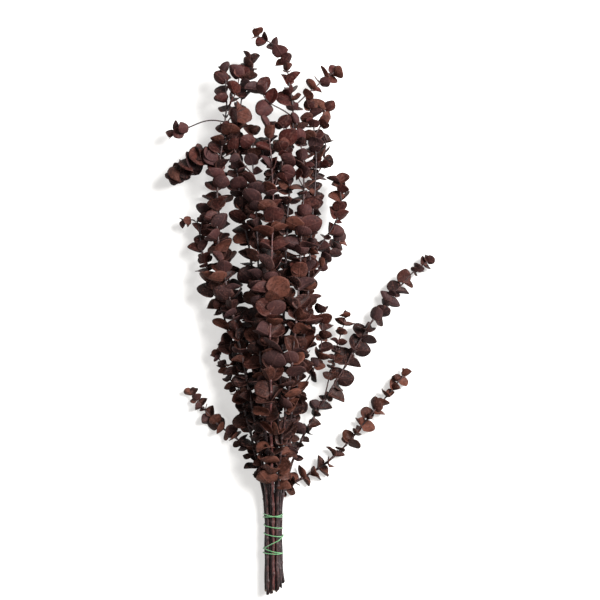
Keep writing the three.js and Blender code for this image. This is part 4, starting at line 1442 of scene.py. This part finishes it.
@dataclass
class Bunch:
    """The whole bunch: every branch as a stem and its leaves, and the string."""

    branches: list[Branch]

    def build(self) -> None:
        """Make every piece, tie it to the frame and report it."""
        leaf_material = LeafFinish().material()
        barks = {tone: finish.material() for tone, finish in BARKS.items()}
        shape = LeafShape()
        # every leaf's middle, used to paint shade on leaves that others lie over
        crowd = np.array([leaf.centre for branch in self.branches for leaf in branch.leaves])
        for branch in self.branches:
            self._keep(Stem(branch).build(barks[branch.plan.tone]), branch.node)
            self._keep(Foliage(branch, shape, leaf_material, crowd).build(), branch.node)
        self._keep(TieString(self.branches).build(StringFinish().material()), "tie_string")

    def _keep(self, piece: bpy.types.Object, node: str) -> None:
        """Ride a piece on the bunch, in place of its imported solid.

        Args:
            piece: The piece.
            node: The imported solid's name.
        """
        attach(piece, "root")
        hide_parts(node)
        log.info("%s: %d faces", piece.name, len(piece.data.polygons))


@dataclass
class Studio:
    """The pale floor, the lights and the camera."""

    floor_size: float = 8.0
    eye: tuple[float, float, float] = (-0.00125, 0.01695, 1.816)
    lens: float = 85.0

    def build(self) -> None:
        """Set up the studio."""
        self._floor()
        self._light("key", (1.35, 0.75, 1.95), 1.1, 215.0)
        self._light("fill", (-1.6, -0.8, 2.2), 2.4, 20.0)
        self._world()
        self._camera()

    def _floor(self) -> None:
        """Lay a plain pale floor at height 0."""
        g = Graph("floor_pale")
        clouds = g.noise(g.place(), 2.0, 2.0)
        colour = g.blend(clouds, (0.40, 0.395, 0.39, 1), (0.42, 0.415, 0.405, 1))
        constants = {
            "Specular IOR Level": 0.2, "Emission Color": (1.0, 0.985, 0.97, 1), "Emission Strength": 0.5}
        material = g.finish(constants, {"Base Color": colour, "Roughness": 0.9}, clouds, 0.0001)
        half = self.floor_size / 2
        mesh = bpy.data.meshes.new("floor")
        corners = [(-half, -half, 0), (half, -half, 0), (half, half, 0), (-half, half, 0)]
        mesh.from_pydata(corners, [], [(0, 1, 2, 3)])
        mesh.materials.append(material)
        floor = bpy.data.objects.new("floor", mesh)
        bpy.context.scene.collection.objects.link(floor)

    def _light(self, name: str, place: tuple[float, float, float], size: float, power: float) -> None:
        """Hang a square soft light that faces the bunch.

        Args:
            name: The light's name.
            place: Where it hangs, in metres.
            size: Its width, in metres.
            power: Its power, in watts.
        """
        data = bpy.data.lights.new(name, "AREA")
        data.size, data.energy = size, power
        light = bpy.data.objects.new(name, data)
        light.location = place
        light.rotation_euler = light.location.to_track_quat("Z", "Y").to_euler()
        bpy.context.scene.collection.objects.link(light)

    def _world(self) -> None:
        """Fill the room with even, nearly white light."""
        world = bpy.data.worlds.new("room")
        world.use_nodes = True
        background = world.node_tree.nodes["Background"]
        background.inputs["Color"].default_value = (1.0, 0.975, 0.95, 1)
        background.inputs["Strength"].default_value = 0.37
        bpy.context.scene.world = world
        bpy.context.scene.view_settings.view_transform = "Standard"

    def _camera(self) -> None:
        """Look straight down at the bunch, with its top at the top of the picture."""
        data = bpy.data.cameras.new("camera")
        data.lens = self.lens
        camera = bpy.data.objects.new("camera", data)
        camera.location = self.eye
        bpy.context.scene.collection.objects.link(camera)
        bpy.context.scene.camera = camera


def main() -> None:
    """Grow the bunch, build every piece and light it."""
    logging.basicConfig(level=logging.INFO, format="%(name)s %(message)s")
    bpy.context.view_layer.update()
    Studio().build()
    Bunch(grow_bunch()).build()


if __name__ == "__main__":
    main()
